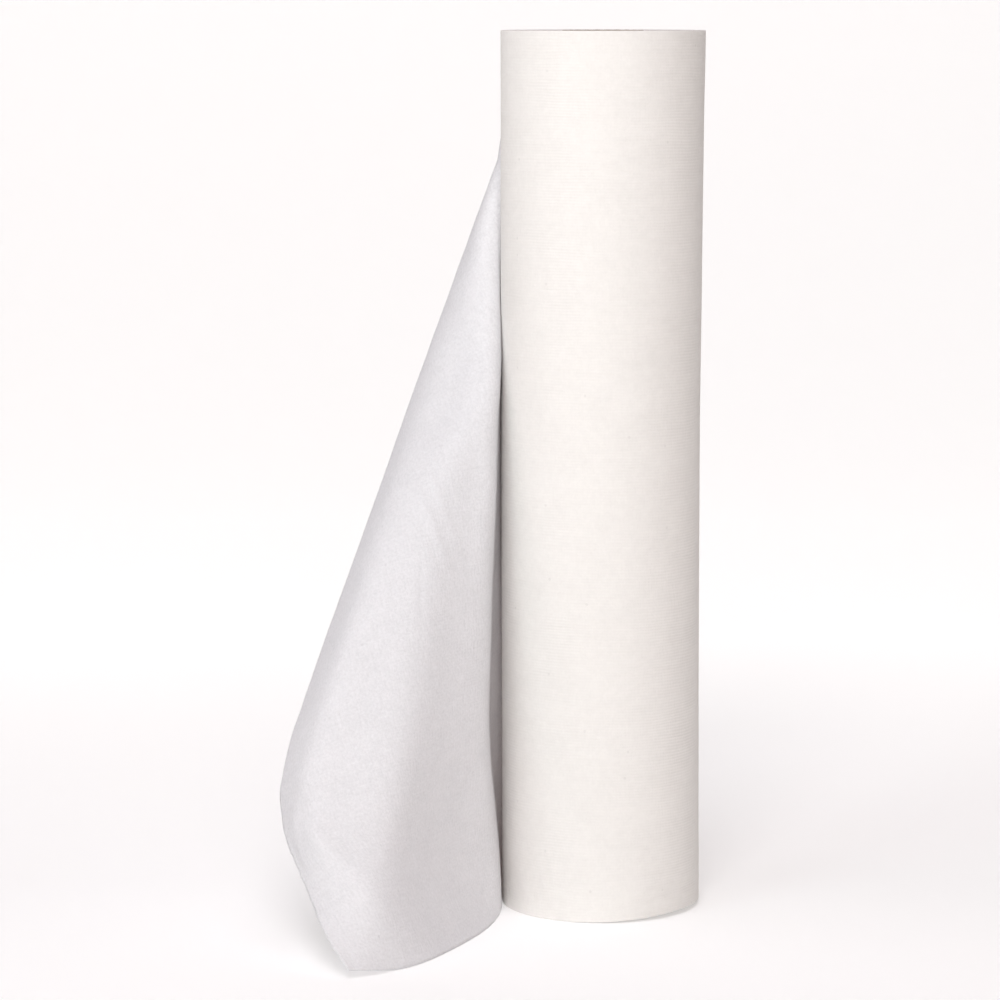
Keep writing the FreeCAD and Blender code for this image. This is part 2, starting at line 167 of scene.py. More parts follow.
# ---------------------------------------------------------------- paper
def paper_material(name, base, roll, translucent=0.0):
    """Creped paper.  The map 'web' is metres along the web and metres across it."""
    mat = bpy.data.materials.new(name)
    mat.use_nodes = True
    nt = mat.node_tree
    nt.nodes.clear()
    out = node(nt, "ShaderNodeOutputMaterial", 900, 0)
    bsdf = node(nt, "ShaderNodeBsdfPrincipled", 500, 0)
    uv = node(nt, "ShaderNodeUVMap", -1400, 0)
    uv.uv_map = "web"
    vec = uv.outputs[0]
    # ribs that run along the web: uneven ridges about 1.7 mm apart
    sep = node(nt, "ShaderNodeSeparateXYZ", -1200, 300)
    link(nt, vec, sep.inputs[0])
    wander = noise(nt, mapped(nt, vec, 24.0, 55.0), 1.0, 1.0, 0.5)
    phase = math_node(nt, "MULTIPLY_ADD", sep.outputs[1], 2 * math.pi / 0.0017, math_node(nt, "MULTIPLY", wander, 6.0))
    keep = noise(nt, mapped(nt, vec, 22.0, 40.0, ox=5.3), 1.0, 1.0, 0.5)
    line = math_node(nt, "MULTIPLY", math_node(nt, "SINE", phase), keep)
    ribs = math_node(nt, "MULTIPLY", noise(nt, mapped(nt, vec, 45.0, 900.0), 1.0, 2.0, 0.55), 0.60)
    ribs = math_node(nt, "MULTIPLY_ADD", line, 0.55, math_node(nt, "ADD", ribs, 0.20))
    grain = noise(nt, mapped(nt, vec, 1.0, 1.0, ox=7.7), 640.0, 2.0, 0.7)
    # crepe: short wrinkles that run across the web, about 1.3 mm apart
    crepe = noise(nt, mapped(nt, vec, 900.0, 170.0), 1.0, 2.0, 0.6)
    # fibre clouds
    cloud = noise(nt, mapped(nt, vec, 1.0, 1.0), 55.0, 2.0, 0.6)
    blot = noise(nt, mapped(nt, vec, 1.0, 1.0, ox=3.1), 210.0, 2.0, 0.65)
    slow = noise(nt, mapped(nt, vec, 1.0, 1.6, oy=1.7), 14.0, 1.0, 0.5)
    h = math_node(nt, "MULTIPLY", ribs, 0.52 if roll else 0.30)
    h = math_node(nt, "MULTIPLY_ADD", crepe, 0.45 if roll else 1.15, h)
    h = math_node(nt, "MULTIPLY_ADD", blot, 0.35 if roll else 0.60, h)
    bump = node(nt, "ShaderNodeBump", 200, -300)
    bump.inputs["Strength"].default_value = 0.60
    bump.inputs["Distance"].default_value = 0.00030
    link(nt, h, bump.inputs["Height"])
    big = node(nt, "ShaderNodeBump", 350, -300)
    big.inputs["Strength"].default_value = 0.5
    big.inputs["Distance"].default_value = 0.0012
    link(nt, slow, big.inputs["Height"])
    link(nt, bump.outputs[0], big.inputs["Normal"])
    link(nt, big.outputs[0], bsdf.inputs["Normal"])
    # tone: thin and thick places and a few grey fibre specks; the ribs, crepe and blots that make the relief also tint
    # it, lighter where raised and darker in their hollows
    tone = math_node(nt, "MULTIPLY_ADD", cloud, 0.050, 0.975)
    tone = math_node(nt, "MULTIPLY_ADD", math_node(nt, "SUBTRACT", blot, 0.5), 0.060, tone)
    tone = math_node(nt, "MULTIPLY_ADD", math_node(nt, "SUBTRACT", crepe, 0.5), 0.030 if roll else 0.080, tone)
    tone = math_node(nt, "MULTIPLY_ADD", math_node(nt, "SUBTRACT", ribs, 0.5), 0.022 if roll else 0.015, tone)
    tone = math_node(nt, "MULTIPLY_ADD", math_node(nt, "SUBTRACT", grain, 0.5), 0.050 if roll else 0.190, tone)
    vor = node(nt, "ShaderNodeTexVoronoi", -900, -600)
    vor.voronoi_dimensions = "2D"
    vor.inputs["Scale"].default_value = 42.0
    vor.inputs["Randomness"].default_value = 1.0
    link(nt, vec, vor.inputs["Vector"])
    dot = math_node(nt, "LESS_THAN", vor.outputs["Distance"], 0.032)
    pick = node(nt, "ShaderNodeSeparateColor", -700, -700)
    link(nt, vor.outputs["Color"], pick.inputs[0])
    dot = math_node(nt, "MULTIPLY", dot, math_node(nt, "GREATER_THAN", pick.outputs[0], 0.80))
    tone = math_node(nt, "SUBTRACT", tone, math_node(nt, "MULTIPLY", dot, 0.07))
    col = node(nt, "ShaderNodeVectorMath", 300, 200)
    col.operation = "SCALE"
    col.inputs[0].default_value = base
    link(nt, tone, col.inputs["Scale"])
    link(nt, col.outputs[0], bsdf.inputs["Base Color"])
    bsdf.inputs["Roughness"].default_value = 0.88
    bsdf.inputs["Specular IOR Level"].default_value = 0.25
    if translucent > 0:
        tr = node(nt, "ShaderNodeBsdfTranslucent", 500, -400)
        warm = node(nt, "ShaderNodeVectorMath", 300, -420)
        warm.operation = "MULTIPLY"
        warm.inputs[1].default_value = (1.04, 0.87, 0.80)
        link(nt, col.outputs[0], warm.inputs[0])
        link(nt, warm.outputs[0], tr.inputs["Color"])
        link(nt, big.outputs[0], tr.inputs["Normal"])
        mix = node(nt, "ShaderNodeMixShader", 720, 0)
        mix.inputs[0].default_value = translucent
        link(nt, bsdf.outputs[0], mix.inputs[1])
        link(nt, tr.outputs[0], mix.inputs[2])
        link(nt, mix.outputs[0], out.inputs["Surface"])
    else:
        link(nt, bsdf.outputs[0], out.inputs["Surface"])
    return mat


def edge_material(name, base):
    """The cut ends of the turns: fine concentric lines, soft and a little darker."""
    mat = bpy.data.materials.new(name)
    mat.use_nodes = True
    nt = mat.node_tree
    nt.nodes.clear()
    out = node(nt, "ShaderNodeOutputMaterial", 900, 0)
    bsdf = node(nt, "ShaderNodeBsdfPrincipled", 500, 0)
    uv = node(nt, "ShaderNodeUVMap", -1400, 0)
    uv.uv_map = "web"
    # u: angle times a mean radius, v: radius
    fine = noise(nt, mapped(nt, uv.outputs[0], 10.0, 3200.0), 1.0, 2.0, 0.6)
    bands = noise(nt, mapped(nt, uv.outputs[0], 6.0, 520.0, oy=2.0), 1.0, 3.0, 0.6)
    fuzz = noise(nt, mapped(nt, uv.outputs[0], 900.0, 900.0), 1.0, 2.0, 0.5)
    tone = math_node(nt, "MULTIPLY_ADD", fine, 0.16, 0.86)
    tone = math_node(nt, "MULTIPLY_ADD", math_node(nt, "SUBTRACT", bands, 0.5), 0.16, tone)
    tone = math_node(nt, "MULTIPLY_ADD", math_node(nt, "SUBTRACT", fuzz, 0.5), 0.05, tone)
    h = math_node(nt, "MULTIPLY_ADD", bands, 1.3, fine)
    h = math_node(nt, "MULTIPLY_ADD", fuzz, 0.4, h)
    bump = node(nt, "ShaderNodeBump", 200, -300)
    bump.inputs["Strength"].default_value = 0.8
    bump.inputs["Distance"].default_value = 0.00035
    link(nt, h, bump.inputs["Height"])
    link(nt, bump.outputs[0], bsdf.inputs["Normal"])
    col = node(nt, "ShaderNodeVectorMath", 300, 200)
    col.operation = "SCALE"
    col.inputs[0].default_value = base
    link(nt, tone, col.inputs["Scale"])
    link(nt, col.outputs[0], bsdf.inputs["Base Color"])
    bsdf.inputs["Roughness"].default_value = 0.92
    bsdf.inputs["Specular IOR Level"].default_value = 0.2
    link(nt, bsdf.outputs[0], out.inputs["Surface"])
    return mat


def card_material():
    """Grey-brown tube board, wound in a helix of strips."""
    mat = bpy.data.materials.new("tube_board")
    mat.use_nodes = True
    nt = mat.node_tree
    nt.nodes.clear()
    out = node(nt, "ShaderNodeOutputMaterial", 900, 0)
    bsdf = node(nt, "ShaderNodeBsdfPrincipled", 500, 0)
    uv = node(nt, "ShaderNodeUVMap", -1400, 0)
    uv.uv_map = "web"
    vec = uv.outputs[0]
    fibre = noise(nt, mapped(nt, vec, 1500.0, 500.0), 1.0, 3.0, 0.6)
    mott = noise(nt, mapped(nt, vec, 1.0, 1.0), 160.0, 4.0, 0.65)
    sep = node(nt, "ShaderNodeSeparateXYZ", -1200, -200)
    link(nt, vec, sep.inputs[0])
    # strip seam: v - u * pitch repeats every 95 mm
    pitch = 0.095
    turn = math_node(nt, "MULTIPLY", sep.outputs[0], pitch / (2 * math.pi * 0.022))
    ph = math_node(nt, "DIVIDE", math_node(nt, "ADD", sep.outputs[1], turn), pitch)
    ph = math_node(nt, "FRACT", ph)
    seam = math_node(nt, "LESS_THAN", ph, 0.012)
    tone = math_node(nt, "MULTIPLY_ADD", fibre, 0.22, 0.84)
    tone = math_node(nt, "MULTIPLY_ADD", math_node(nt, "SUBTRACT", mott, 0.5), 0.30, tone)
    tone = math_node(nt, "SUBTRACT", tone, math_node(nt, "MULTIPLY", seam, 0.28))
    h = math_node(nt, "SUBTRACT", math_node(nt, "MULTIPLY", fibre, 0.3), seam)
    bump = node(nt, "ShaderNodeBump", 200, -300)
    bump.inputs["Strength"].default_value = 0.6
    bump.inputs["Distance"].default_value = 0.0004
    link(nt, h, bump.inputs["Height"])
    link(nt, bump.outputs[0], bsdf.inputs["Normal"])
    col = node(nt, "ShaderNodeVectorMath", 300, 200)
    col.operation = "SCALE"
    col.inputs[0].default_value = (0.46, 0.40, 0.33)
    link(nt, tone, col.inputs["Scale"])
    link(nt, col.outputs[0], bsdf.inputs["Base Color"])
    bsdf.inputs["Roughness"].default_value = 0.85
    link(nt, bsdf.outputs[0], out.inputs["Surface"])
    return mat


PAPER = (0.891, 0.878, 0.852)
PAPER_TAIL = (0.903, 0.930, 0.962)
paper_roll_mat = paper_material("creped_paper_roll", PAPER, True)
paper_tail_mat = paper_material("creped_paper_loose", PAPER_TAIL, False, translucent=0.21)
edge_mat = edge_material("paper_edges", (0.86, 0.835, 0.81))
card_mat = card_material()

# ---------------------------------------------------------------- wound turns
NA, NZ = 320, 230
ang = np.linspace(0, 2 * math.pi, NA, endpoint=False)
# closer rows at the two ends for the worn rims
near_end = [0.0, 0.15, 0.35, 0.7, 1.2, 2.0]
top_mm = ROLL_H / MM
z_mm = np.array(near_end + list(np.linspace(3.2, top_mm - 3.2, NZ - 2 * len(near_end))) + [top_mm - a for a in reversed(near_end)])
A, Z = np.meshgrid(ang, z_mm, indexing="ij")
# lower rim: the outer turns ride up a little at the right front
up = 2.9 * np.exp(-(((A - math.radians(325) + math.pi) % (2 * math.pi) - math.pi) / math.radians(42)) ** 2)
dent = (0.16 * waves(A, Z / 500.0, (1, 4), (0.5, 3.0), 14, 3)
        + 0.10 * waves(A, Z / 500.0, (4, 14), (2.0, 9.0), 30, 4, 0.5))
R = roll_r(Z) + dent
# rims soften: the last turns' edges are slightly worn round
d_end = np.minimum(Z, 500.0 - Z)
R = R - 0.30 * np.exp(-d_end / 0.35)
deg = np.degrees((A - math.radians(270) + math.pi) % (2 * math.pi) - math.pi)
# crushed patch low on the left front
cr = np.exp(-((Z - 16.0) / 8.5) ** 2) * np.exp(-((deg + 36.0) / 17.0) ** 2)
R = R + 0.95 * cr * waves(A, Z / 500.0, (18, 40), (8.0, 34.0), 24, 5, 0.0)
# a shallow groove above the lower rim on the right front, and its lip
zg = 9.0 + 5.0 * (deg - 14.0) / 62.0
win = np.clip((deg - 8.0) / 12.0, 0, 1) * np.clip((84.0 - deg) / 12.0, 0, 1)
broken = 0.65 + 0.35 * waves(A, Z / 500.0, (9, 24), (2.0, 20.0), 20, 8, 0.0)
R = R - 1.05 * win * broken * np.exp(-((Z - zg) / 2.4) ** 2)
R = R + 0.35 * win * broken * np.exp(-((Z - zg - 6.0) / 3.5) ** 2)
# a faint crease that slants across the front
zc = 223.0 - 0.105 * deg
cw = np.exp(-(deg / 48.0) ** 4)
R = R - 0.34 * np.exp(-((Z - zc) / 1.7) ** 2) * cw
Zr = Z + up * np.exp(-Z / 26.0)
X = roll_cx(Z) + R * np.cos(A)
Y = R * np.sin(A)
outer = np.stack([X, Y, Zr], -1).reshape(-1, 3) * MM
oq = grid_quads(NA, NZ, close_n=True)
ouv = np.stack([A * 0.057, Z * MM], -1).reshape(-1, 2)
# loop uvs with the seam unwrapped
I = np.arange(NA)
uvq = []
q_i = np.repeat(np.arange(NA), NZ - 1)
q_j = np.tile(np.arange(NZ - 1), NA)
def _uv(di, dj):
    return np.stack([(q_i + di) * (2 * math.pi / NA) * 0.057, (z_mm[q_j + dj]) * MM], -1)
out_uv = np.stack([_uv(0, 0), _uv(1, 0), _uv(1, 1), _uv(0, 1)], 1).reshape(-1, 2)
skin = mesh_object("roll_skin", outer, oq, out_uv)
skin.data.materials.append(paper_roll_mat)


def end_face(name, top):
    """The turns' cut edges as a ring with small steps between bundles of turns."""
    nr = 92
    rr = np.linspace(0.0, 1.0, nr)
    Aa, Rr = np.meshgrid(ang, rr, indexing="ij")
    zz = np.full_like(Aa, 500.0 if top else 0.0)
    r_out = (np.take(R, NZ - 1 if top else 0, axis=1))[:, None]
    rad = CORE_R / MM + 0.05 + (r_out - CORE_R / MM - 0.05) * Rr
    steps = np.cumsum(np.random.default_rng(21 if top else 22).normal(0, 0.10, nr))
    steps = steps - np.linspace(steps[0], steps[-1], nr)
    steps = steps * np.clip((1 - rr) / 0.05, 0, 1)
    spiral = 0.14 * np.sin(Rr * 38.0 + Aa) + 0.10 * waves(Aa, Rr, (1, 3), (2.0, 9.0), 12, 31 if top else 32)
    env = np.clip((1 - Rr) / 0.06, 0, 1) * np.clip(Rr / 0.04, 0, 1)
    relief = (steps[None, :] * 0.6 + spiral) * env
    cxz = float(roll_cx(500.0 if top else 0.0))
    if top:
        zz = zz - 0.30 + relief * 0.8
        zz = np.where(Rr > 0.985, 500.0, np.minimum(zz, 500.2))
        edge = 500.0
    else:
        raise_ = up[:, :1] * np.clip((Rr - 0.55) / 0.45, 0, 1) ** 1.5
        zz = 0.30 + raise_ + relief * 0.5
        zz = np.where(Rr > 0.985, raise_, np.maximum(zz, 0.0))
    x = cxz * Rr + rad * np.cos(Aa)
    y = rad * np.sin(Aa)
    v = np.stack([x, y, zz], -1).reshape(-1, 3) * MM
    q = grid_quads(NA, nr, close_n=True, flip=top is False)
    qi = np.repeat(np.arange(NA), nr - 1)
    qj = np.tile(np.arange(nr - 1), NA)
    rm = rad.mean(axis=0)
    f = lambda di, dj: np.stack([(qi + di) * (2 * math.pi / NA) * 0.04, rm[qj + dj] * MM], -1)
    order = [(0, 0), (1, 0), (1, 1), (0, 1)]
    if top is False:
        order = order[::-1]
    uvv = np.stack([f(*o) for o in order], 1).reshape(-1, 2)
    # normals up for the top face
    ob = mesh_object(name, v, q[:, ::-1] if top else q[:, ::-1], uvv.reshape(-1, 4, 2)[:, ::-1].reshape(-1, 2))
    ob.data.materials.append(edge_mat)
    return ob


top_face = end_face("roll_top_end", True)
low_face = end_face("roll_lower_end", False)

# ---------------------------------------------------------------- cardboard tube
NC = 128
ca = np.linspace(0, 2 * math.pi, NC, endpoint=False)
prof = [(BORE_R / MM, 0.3), (BORE_R / MM + 0.3, 0.0), (CORE_R / MM - 0.25, 0.0), (CORE_R / MM, 0.25)]
prof += [(CORE_R / MM, z) for z in np.linspace(20, 480, 24)]
prof += [(CORE_R / MM, 499.6), (CORE_R / MM - 0.25, 499.9), (CORE_R / MM - 1.0, 500.0), (BORE_R / MM + 0.3, 499.9), (BORE_R / MM, 499.6)]
prof += [(BORE_R / MM, z) for z in np.linspace(480, 20, 24)]
prof += [prof[0]]
prof = np.array(prof)
plen = np.concatenate([[0], np.cumsum(np.hypot(*np.diff(prof, axis=0).T))])
CA, PR = np.meshgrid(ca, prof[:, 0], indexing="ij")
_, PZ = np.meshgrid(ca, prof[:, 1], indexing="ij")
rough_rim = 0.10 * np.sin(CA * 23) * (np.abs(PZ - 250) > 249)
cv = np.stack([PR * np.cos(CA), PR * np.sin(CA), PZ + rough_rim * (PZ > 250) - 0 * CA], -1).reshape(-1, 3) * MM
cq = grid_quads(NC, len(prof), close_n=True)
qi = np.repeat(np.arange(NC), len(prof) - 1)
qj = np.tile(np.arange(len(prof) - 1), NC)
f = lambda di, dj: np.stack([(qi + di) * (2 * math.pi / NC) * 0.022, plen[qj + dj] * MM], -1)
cuv = np.stack([f(0, 0), f(1, 0), f(1, 1), f(0, 1)], 1).reshape(-1, 2)
tube = mesh_object("cardboard_tube", cv, cq, cuv)
tube.data.materials.append(card_mat)

# ---------------------------------------------------------------- loose end
# Control points of the loose end's surface (mm): rows along the web, points across it.
LOOSE = [
    [(-10, 56.4, 0), (-10, 56.4, 5.4), (-10, 56.4, 16.1), (-10, 56.4, 32.3), (-10, 56.4, 48.4), (-10, 56.4, 64.5), (-10, 56.4, 80.6), (-10, 56.4, 96.8), (-10, 56.4, 112.9), (-10, 56.4, 129), (-10, 56.4, 145.2), (-10, 56.4, 161.3), (-10, 56.4, 177.4), (-10, 56.4, 193.5), (-10, 56.4, 209.7), (-10, 56.4, 225.8), (-10, 56.4, 241.9), (-10, 56.4, 258.1), (-10, 56.4, 274.2), (-10, 56.4, 290.3), (-10, 56.4, 306.5), (-10, 56.4, 322.6), (-9.9, 56.4, 338.7), (-9.9, 56.4, 354.8), (-9.9, 56.4, 371), (-9.9, 56.4, 387.1), (-9.9, 56.4, 403.2), (-9.9, 56.4, 419.4), (-9.9, 56.4, 435.5), (-9.9, 56.4, 451.6), (-9.9, 56.4, 467.7), (-9.9, 56.4, 483.9), (-9.9, 56.4, 494.6), (-10, 56.4, 500)],
    [(-12.4, 56.1, 0), (-12.4, 56, 5.4), (-12.4, 56, 16.1), (-12.4, 56, 32.3), (-12.4, 56, 48.4), (-12.4, 56, 64.5), (-12.4, 56.1, 80.7), (-12.4, 56.1, 96.8), (-12.4, 56.1, 112.9), (-12.4, 56.1, 129), (-12.4, 56.1, 145.2), (-12.5, 56.1, 161.3), (-12.5, 56.1, 177.4), (-12.4, 56.1, 193.6), (-12.4, 56.1, 209.7), (-12.4, 56.1, 225.8), (-12.4, 56.1, 242), (-12.4, 56.1, 258.1), (-12.4, 56.1, 274.2), (-12.5, 56.1, 290.4), (-12.4, 56, 306.5), (-12.5, 56, 322.6), (-12.3, 56, 338.7), (-12.8, 56, 354.9), (-11.5, 55.8, 370.9), (-14, 56.1, 387.3), (-10.2, 55.8, 402.8), (-14.6, 55.2, 420.1), (-11, 57.6, 434.4), (-11.9, 54.6, 452.4), (-12.8, 56.8, 467.4), (-12.2, 55.7, 484.4), (-12.5, 56.1, 494.5), (-12.3, 54.3, 500.3)],
    [(-17.2, 54.8, 0), (-17.2, 54.8, 5.4), (-17.2, 54.8, 16.1), (-17.2, 54.8, 32.3), (-17.2, 54.8, 48.4), (-17.2, 54.8, 64.5), (-17.2, 54.8, 80.6), (-17.2, 54.8, 96.8), (-17.2, 54.8, 112.9), (-17.2, 54.8, 129), (-17.2, 54.8, 145.2), (-17.2, 54.8, 161.3), (-17.2, 54.8, 177.4), (-17.2, 54.8, 193.5), (-17.2, 54.8, 209.7), (-17.2, 54.8, 225.8), (-17.2, 54.8, 241.9), (-17.2, 54.8, 258.1), (-17.2, 54.8, 274.2), (-17.2, 54.8, 290.3), (-17.2, 54.8, 306.4), (-17.1, 54.8, 322.6), (-17.3, 54.8, 338.7), (-16.9, 54.7, 354.8), (-17.7, 54.8, 371), (-16.2, 54.6, 387), (-18.5, 54.8, 403.5), (-15.8, 55.1, 418.9), (-18, 53.6, 436.2), (-17.5, 55.6, 451.1), (-16.9, 54.3, 468), (-17.4, 55.2, 483.6), (-16.9, 54.1, 494.7), (-17.4, 54.7, 500.1)],
    [(-24.2, 52.1, 0), (-24.2, 52.2, 5.4), (-24.2, 52.2, 16.1), (-24.2, 52.2, 32.2), (-24.2, 52.2, 48.4), (-24.2, 52.2, 64.5), (-24.2, 52.1, 80.6), (-24.2, 52.1, 96.7), (-24.2, 52.1, 112.9), (-24.2, 52.1, 129), (-24.2, 52.1, 145.1), (-24.2, 52.1, 161.2), (-24.2, 52.1, 177.4), (-24.2, 52.1, 193.5), (-24.2, 52.1, 209.6), (-24.2, 52.1, 225.7), (-24.2, 52.1, 241.8), (-24.2, 52.1, 258), (-24.2, 52.1, 274.1), (-24.2, 52.1, 290.2), (-24.2, 52.2, 306.3), (-24.2, 52.3, 322.5), (-24.2, 52.4, 338.6), (-24.4, 52.5, 354.7), (-24.1, 52.6, 370.8), (-24.8, 52.7, 387), (-23.7, 52.8, 403), (-25, 52.7, 419.4), (-24, 53.6, 435), (-24, 52, 451.7), (-24.2, 52.4, 467.4), (-23.7, 51.1, 483.6), (-25.1, 54.5, 494.1), (-24.7, 58, 498.6)],
    [(-30.7, 48.6, 0), (-30.7, 48.6, 5.4), (-30.8, 48.8, 16.1), (-30.8, 48.9, 32.2), (-30.8, 48.8, 48.4), (-30.8, 48.8, 64.5), (-30.7, 48.6, 80.6), (-30.7, 48.5, 96.7), (-30.7, 48.5, 112.8), (-30.7, 48.5, 129), (-30.8, 48.5, 145.1), (-30.8, 48.5, 161.2), (-30.8, 48.5, 177.3), (-30.8, 48.5, 193.4), (-30.8, 48.5, 209.5), (-30.8, 48.5, 225.6), (-30.8, 48.5, 241.8), (-30.8, 48.5, 257.9), (-30.8, 48.5, 274), (-30.7, 48.5, 290.1), (-30.7, 48.7, 306.2), (-30.8, 48.9, 322.4), (-31, 49.1, 338.5), (-31, 49.4, 354.6), (-31.3, 49.6, 370.8), (-30.9, 49.8, 386.9), (-31.6, 49.9, 403.1), (-30.8, 50.1, 419), (-31.2, 49.3, 435.5), (-30.7, 49.1, 451.3), (-30.1, 47.8, 467.4), (-31.7, 49.5, 483.6), (-32.5, 58.1, 492.4), (-30.8, 61.9, 495.5)],
    [(-36.7, 44.2, 0), (-36.8, 44.3, 5.4), (-36.9, 44.6, 16.1), (-37.1, 44.7, 32.2), (-37.1, 44.8, 48.3), (-37, 44.6, 64.5), (-36.9, 44.4, 80.6), (-36.8, 44.2, 96.7), (-36.8, 44.2, 112.8), (-36.8, 44.1, 128.9), (-36.8, 44.1, 145), (-36.8, 44.1, 161.1), (-36.9, 44.1, 177.3), (-36.9, 44.1, 193.4), (-36.9, 44.1, 209.5), (-36.9, 44.1, 225.6), (-36.9, 44.1, 241.7), (-36.8, 44.1, 257.8), (-36.8, 44.1, 273.9), (-36.7, 44.1, 290), (-36.8, 44.4, 306.1), (-37, 44.7, 322.3), (-37.2, 45, 338.4), (-37.4, 45.4, 354.6), (-37.3, 45.7, 370.7), (-37.8, 45.9, 386.9), (-37, 45.7, 402.9), (-37.7, 45.4, 419.3), (-36.5, 45.4, 435.1), (-35.8, 43.8, 451.3), (-36.9, 43.8, 467.5), (-40.3, 52.6, 482.4), (-37.2, 62.2, 488), (-35.6, 66.2, 491)],
    [(-42.1, 39.1, 0), (-42.3, 39.3, 5.3), (-42.5, 39.6, 16.1), (-42.7, 39.9, 32.2), (-42.8, 39.9, 48.3), (-42.7, 39.8, 64.4), (-42.5, 39.5, 80.6), (-42.3, 39.2, 96.7), (-42.1, 39, 112.8), (-42.2, 39, 128.9), (-42.2, 39, 145), (-42.2, 38.9, 161.1), (-42.3, 38.9, 177.2), (-42.3, 38.9, 193.3), (-42.3, 38.9, 209.4), (-42.3, 38.9, 225.5), (-42.3, 38.9, 241.6), (-42.3, 38.9, 257.7), (-42.2, 39, 273.8), (-42.1, 39, 289.9), (-42.3, 39.3, 306.1), (-42.5, 39.7, 322.2), (-42.8, 40.1, 338.3), (-42.8, 40.5, 354.5), (-43.3, 40.8, 370.7), (-42.4, 40.6, 386.8), (-43.3, 40.5, 403.1), (-41.5, 40, 418.9), (-42, 39.2, 435.4), (-41.1, 38.5, 451.2), (-45.8, 43.7, 467.4), (-45.3, 58.1, 477.5), (-40.9, 65.7, 483.2), (-39.2, 70.4, 485.6)],
    [(-46.8, 33.3, 0), (-47, 33.5, 5.3), (-47.4, 33.9, 16), (-47.7, 34.4, 32.1), (-47.9, 34.5, 48.3), (-47.8, 34.4, 64.4), (-47.5, 34, 80.5), (-47.2, 33.6, 96.6), (-46.9, 33.3, 112.7), (-46.9, 33.2, 128.8), (-46.9, 33.1, 144.9), (-47, 33.1, 161), (-47, 33.1, 177.1), (-47, 33, 193.2), (-47, 33, 209.3), (-47, 33, 225.4), (-47, 33.1, 241.5), (-47, 33.1, 257.6), (-46.9, 33.1, 273.8), (-46.8, 33.2, 289.9), (-47, 33.5, 306), (-47.3, 34, 322.1), (-47.5, 34.3, 338.3), (-47.9, 34.7, 354.5), (-47.1, 34.7, 370.6), (-48.1, 34.8, 386.9), (-45.6, 34.2, 402.7), (-47.7, 33.7, 419.4), (-44.3, 33.9, 434.5), (-49, 34.3, 452.3), (-52.9, 49.4, 462.9), (-47, 61.2, 472.1), (-44.2, 70.6, 477.2), (-41.8, 74.6, 479.8)],
    [(-50.7, 26.9, 0), (-51, 27.2, 5.3), (-51.4, 27.7, 16), (-51.9, 28.2, 32.1), (-52.2, 28.5, 48.2), (-52.2, 28.4, 64.3), (-51.9, 28, 80.5), (-51.5, 27.5, 96.6), (-51.1, 27.1, 112.7), (-50.9, 26.9, 128.8), (-50.8, 26.7, 144.9), (-50.8, 26.7, 161), (-50.9, 26.6, 177), (-50.9, 26.6, 193.1), (-50.9, 26.6, 209.2), (-50.9, 26.6, 225.3), (-50.9, 26.6, 241.5), (-50.9, 26.7, 257.6), (-50.9, 26.8, 273.7), (-50.7, 26.8, 289.8), (-50.9, 27.1, 306), (-51.1, 27.6, 322.1), (-51.4, 28, 338.3), (-51, 28.2, 354.3), (-51.7, 28.2, 370.7), (-49.4, 28, 386.4), (-51.7, 27.4, 403.4), (-48.2, 28.4, 418), (-51.1, 24.5, 437.2), (-58.9, 40.2, 448), (-53.4, 52.8, 457), (-50.4, 66.1, 466.2), (-45, 74.3, 471.1), (-43.6, 78.7, 473.8)],
    [(-53.8, 20.2, 0), (-54.1, 20.4, 5.3), (-54.6, 20.9, 16), (-55.2, 21.5, 32), (-55.7, 21.9, 48.1), (-55.8, 21.9, 64.3), (-55.7, 21.5, 80.4), (-55.2, 21.1, 96.5), (-54.8, 20.6, 112.6), (-54.4, 20.3, 128.7), (-54.1, 20, 144.8), (-54, 19.9, 160.9), (-54, 19.8, 177), (-53.9, 19.8, 193.1), (-53.9, 19.7, 209.2), (-53.9, 19.7, 225.3), (-53.9, 19.8, 241.4), (-53.9, 19.8, 257.5), (-53.9, 19.9, 273.6), (-53.8, 20, 289.8), (-53.8, 20.3, 305.9), (-54.2, 20.7, 322.1), (-54.1, 21.1, 338.2), (-54.2, 21.1, 354.5), (-52.9, 21.5, 370.3), (-54.2, 20.6, 387.1), (-51.9, 22.2, 401.9), (-53.2, 17.4, 420.3), (-61.3, 30.6, 433.1), (-56.4, 44.6, 440.9), (-56.2, 56.9, 451.5), (-50, 70.3, 459.4), (-47.3, 78.5, 465.3), (-45, 82.9, 467.7)],
    [(-55.9, 13, 0), (-56.2, 13.3, 5.3), (-56.7, 13.8, 16), (-57.6, 14.5, 32), (-58.2, 14.9, 48.1), (-58.6, 15, 64.2), (-58.7, 14.7, 80.3), (-58.4, 14.3, 96.4), (-57.9, 13.8, 112.5), (-57.4, 13.4, 128.6), (-57, 13.1, 144.7), (-56.7, 12.9, 160.8), (-56.6, 12.8, 176.9), (-56.5, 12.7, 193), (-56.3, 12.6, 209.1), (-56.1, 12.6, 225.2), (-56.1, 12.6, 241.3), (-56.1, 12.6, 257.4), (-56, 12.7, 273.6), (-56, 12.9, 289.7), (-55.9, 13.1, 305.9), (-56, 13.6, 322), (-55.9, 13.8, 338.2), (-55.6, 14.3, 354.3), (-55.8, 13.7, 370.7), (-54.9, 14.8, 386.3), (-55.2, 11.9, 403.3), (-65.5, 20.7, 418.4), (-58.1, 36.4, 425.1), (-56.8, 47.6, 435.7), (-56, 61.7, 444.7), (-51.4, 73.9, 453.8), (-48.1, 83, 458.9), (-46.2, 87.1, 461.6)],
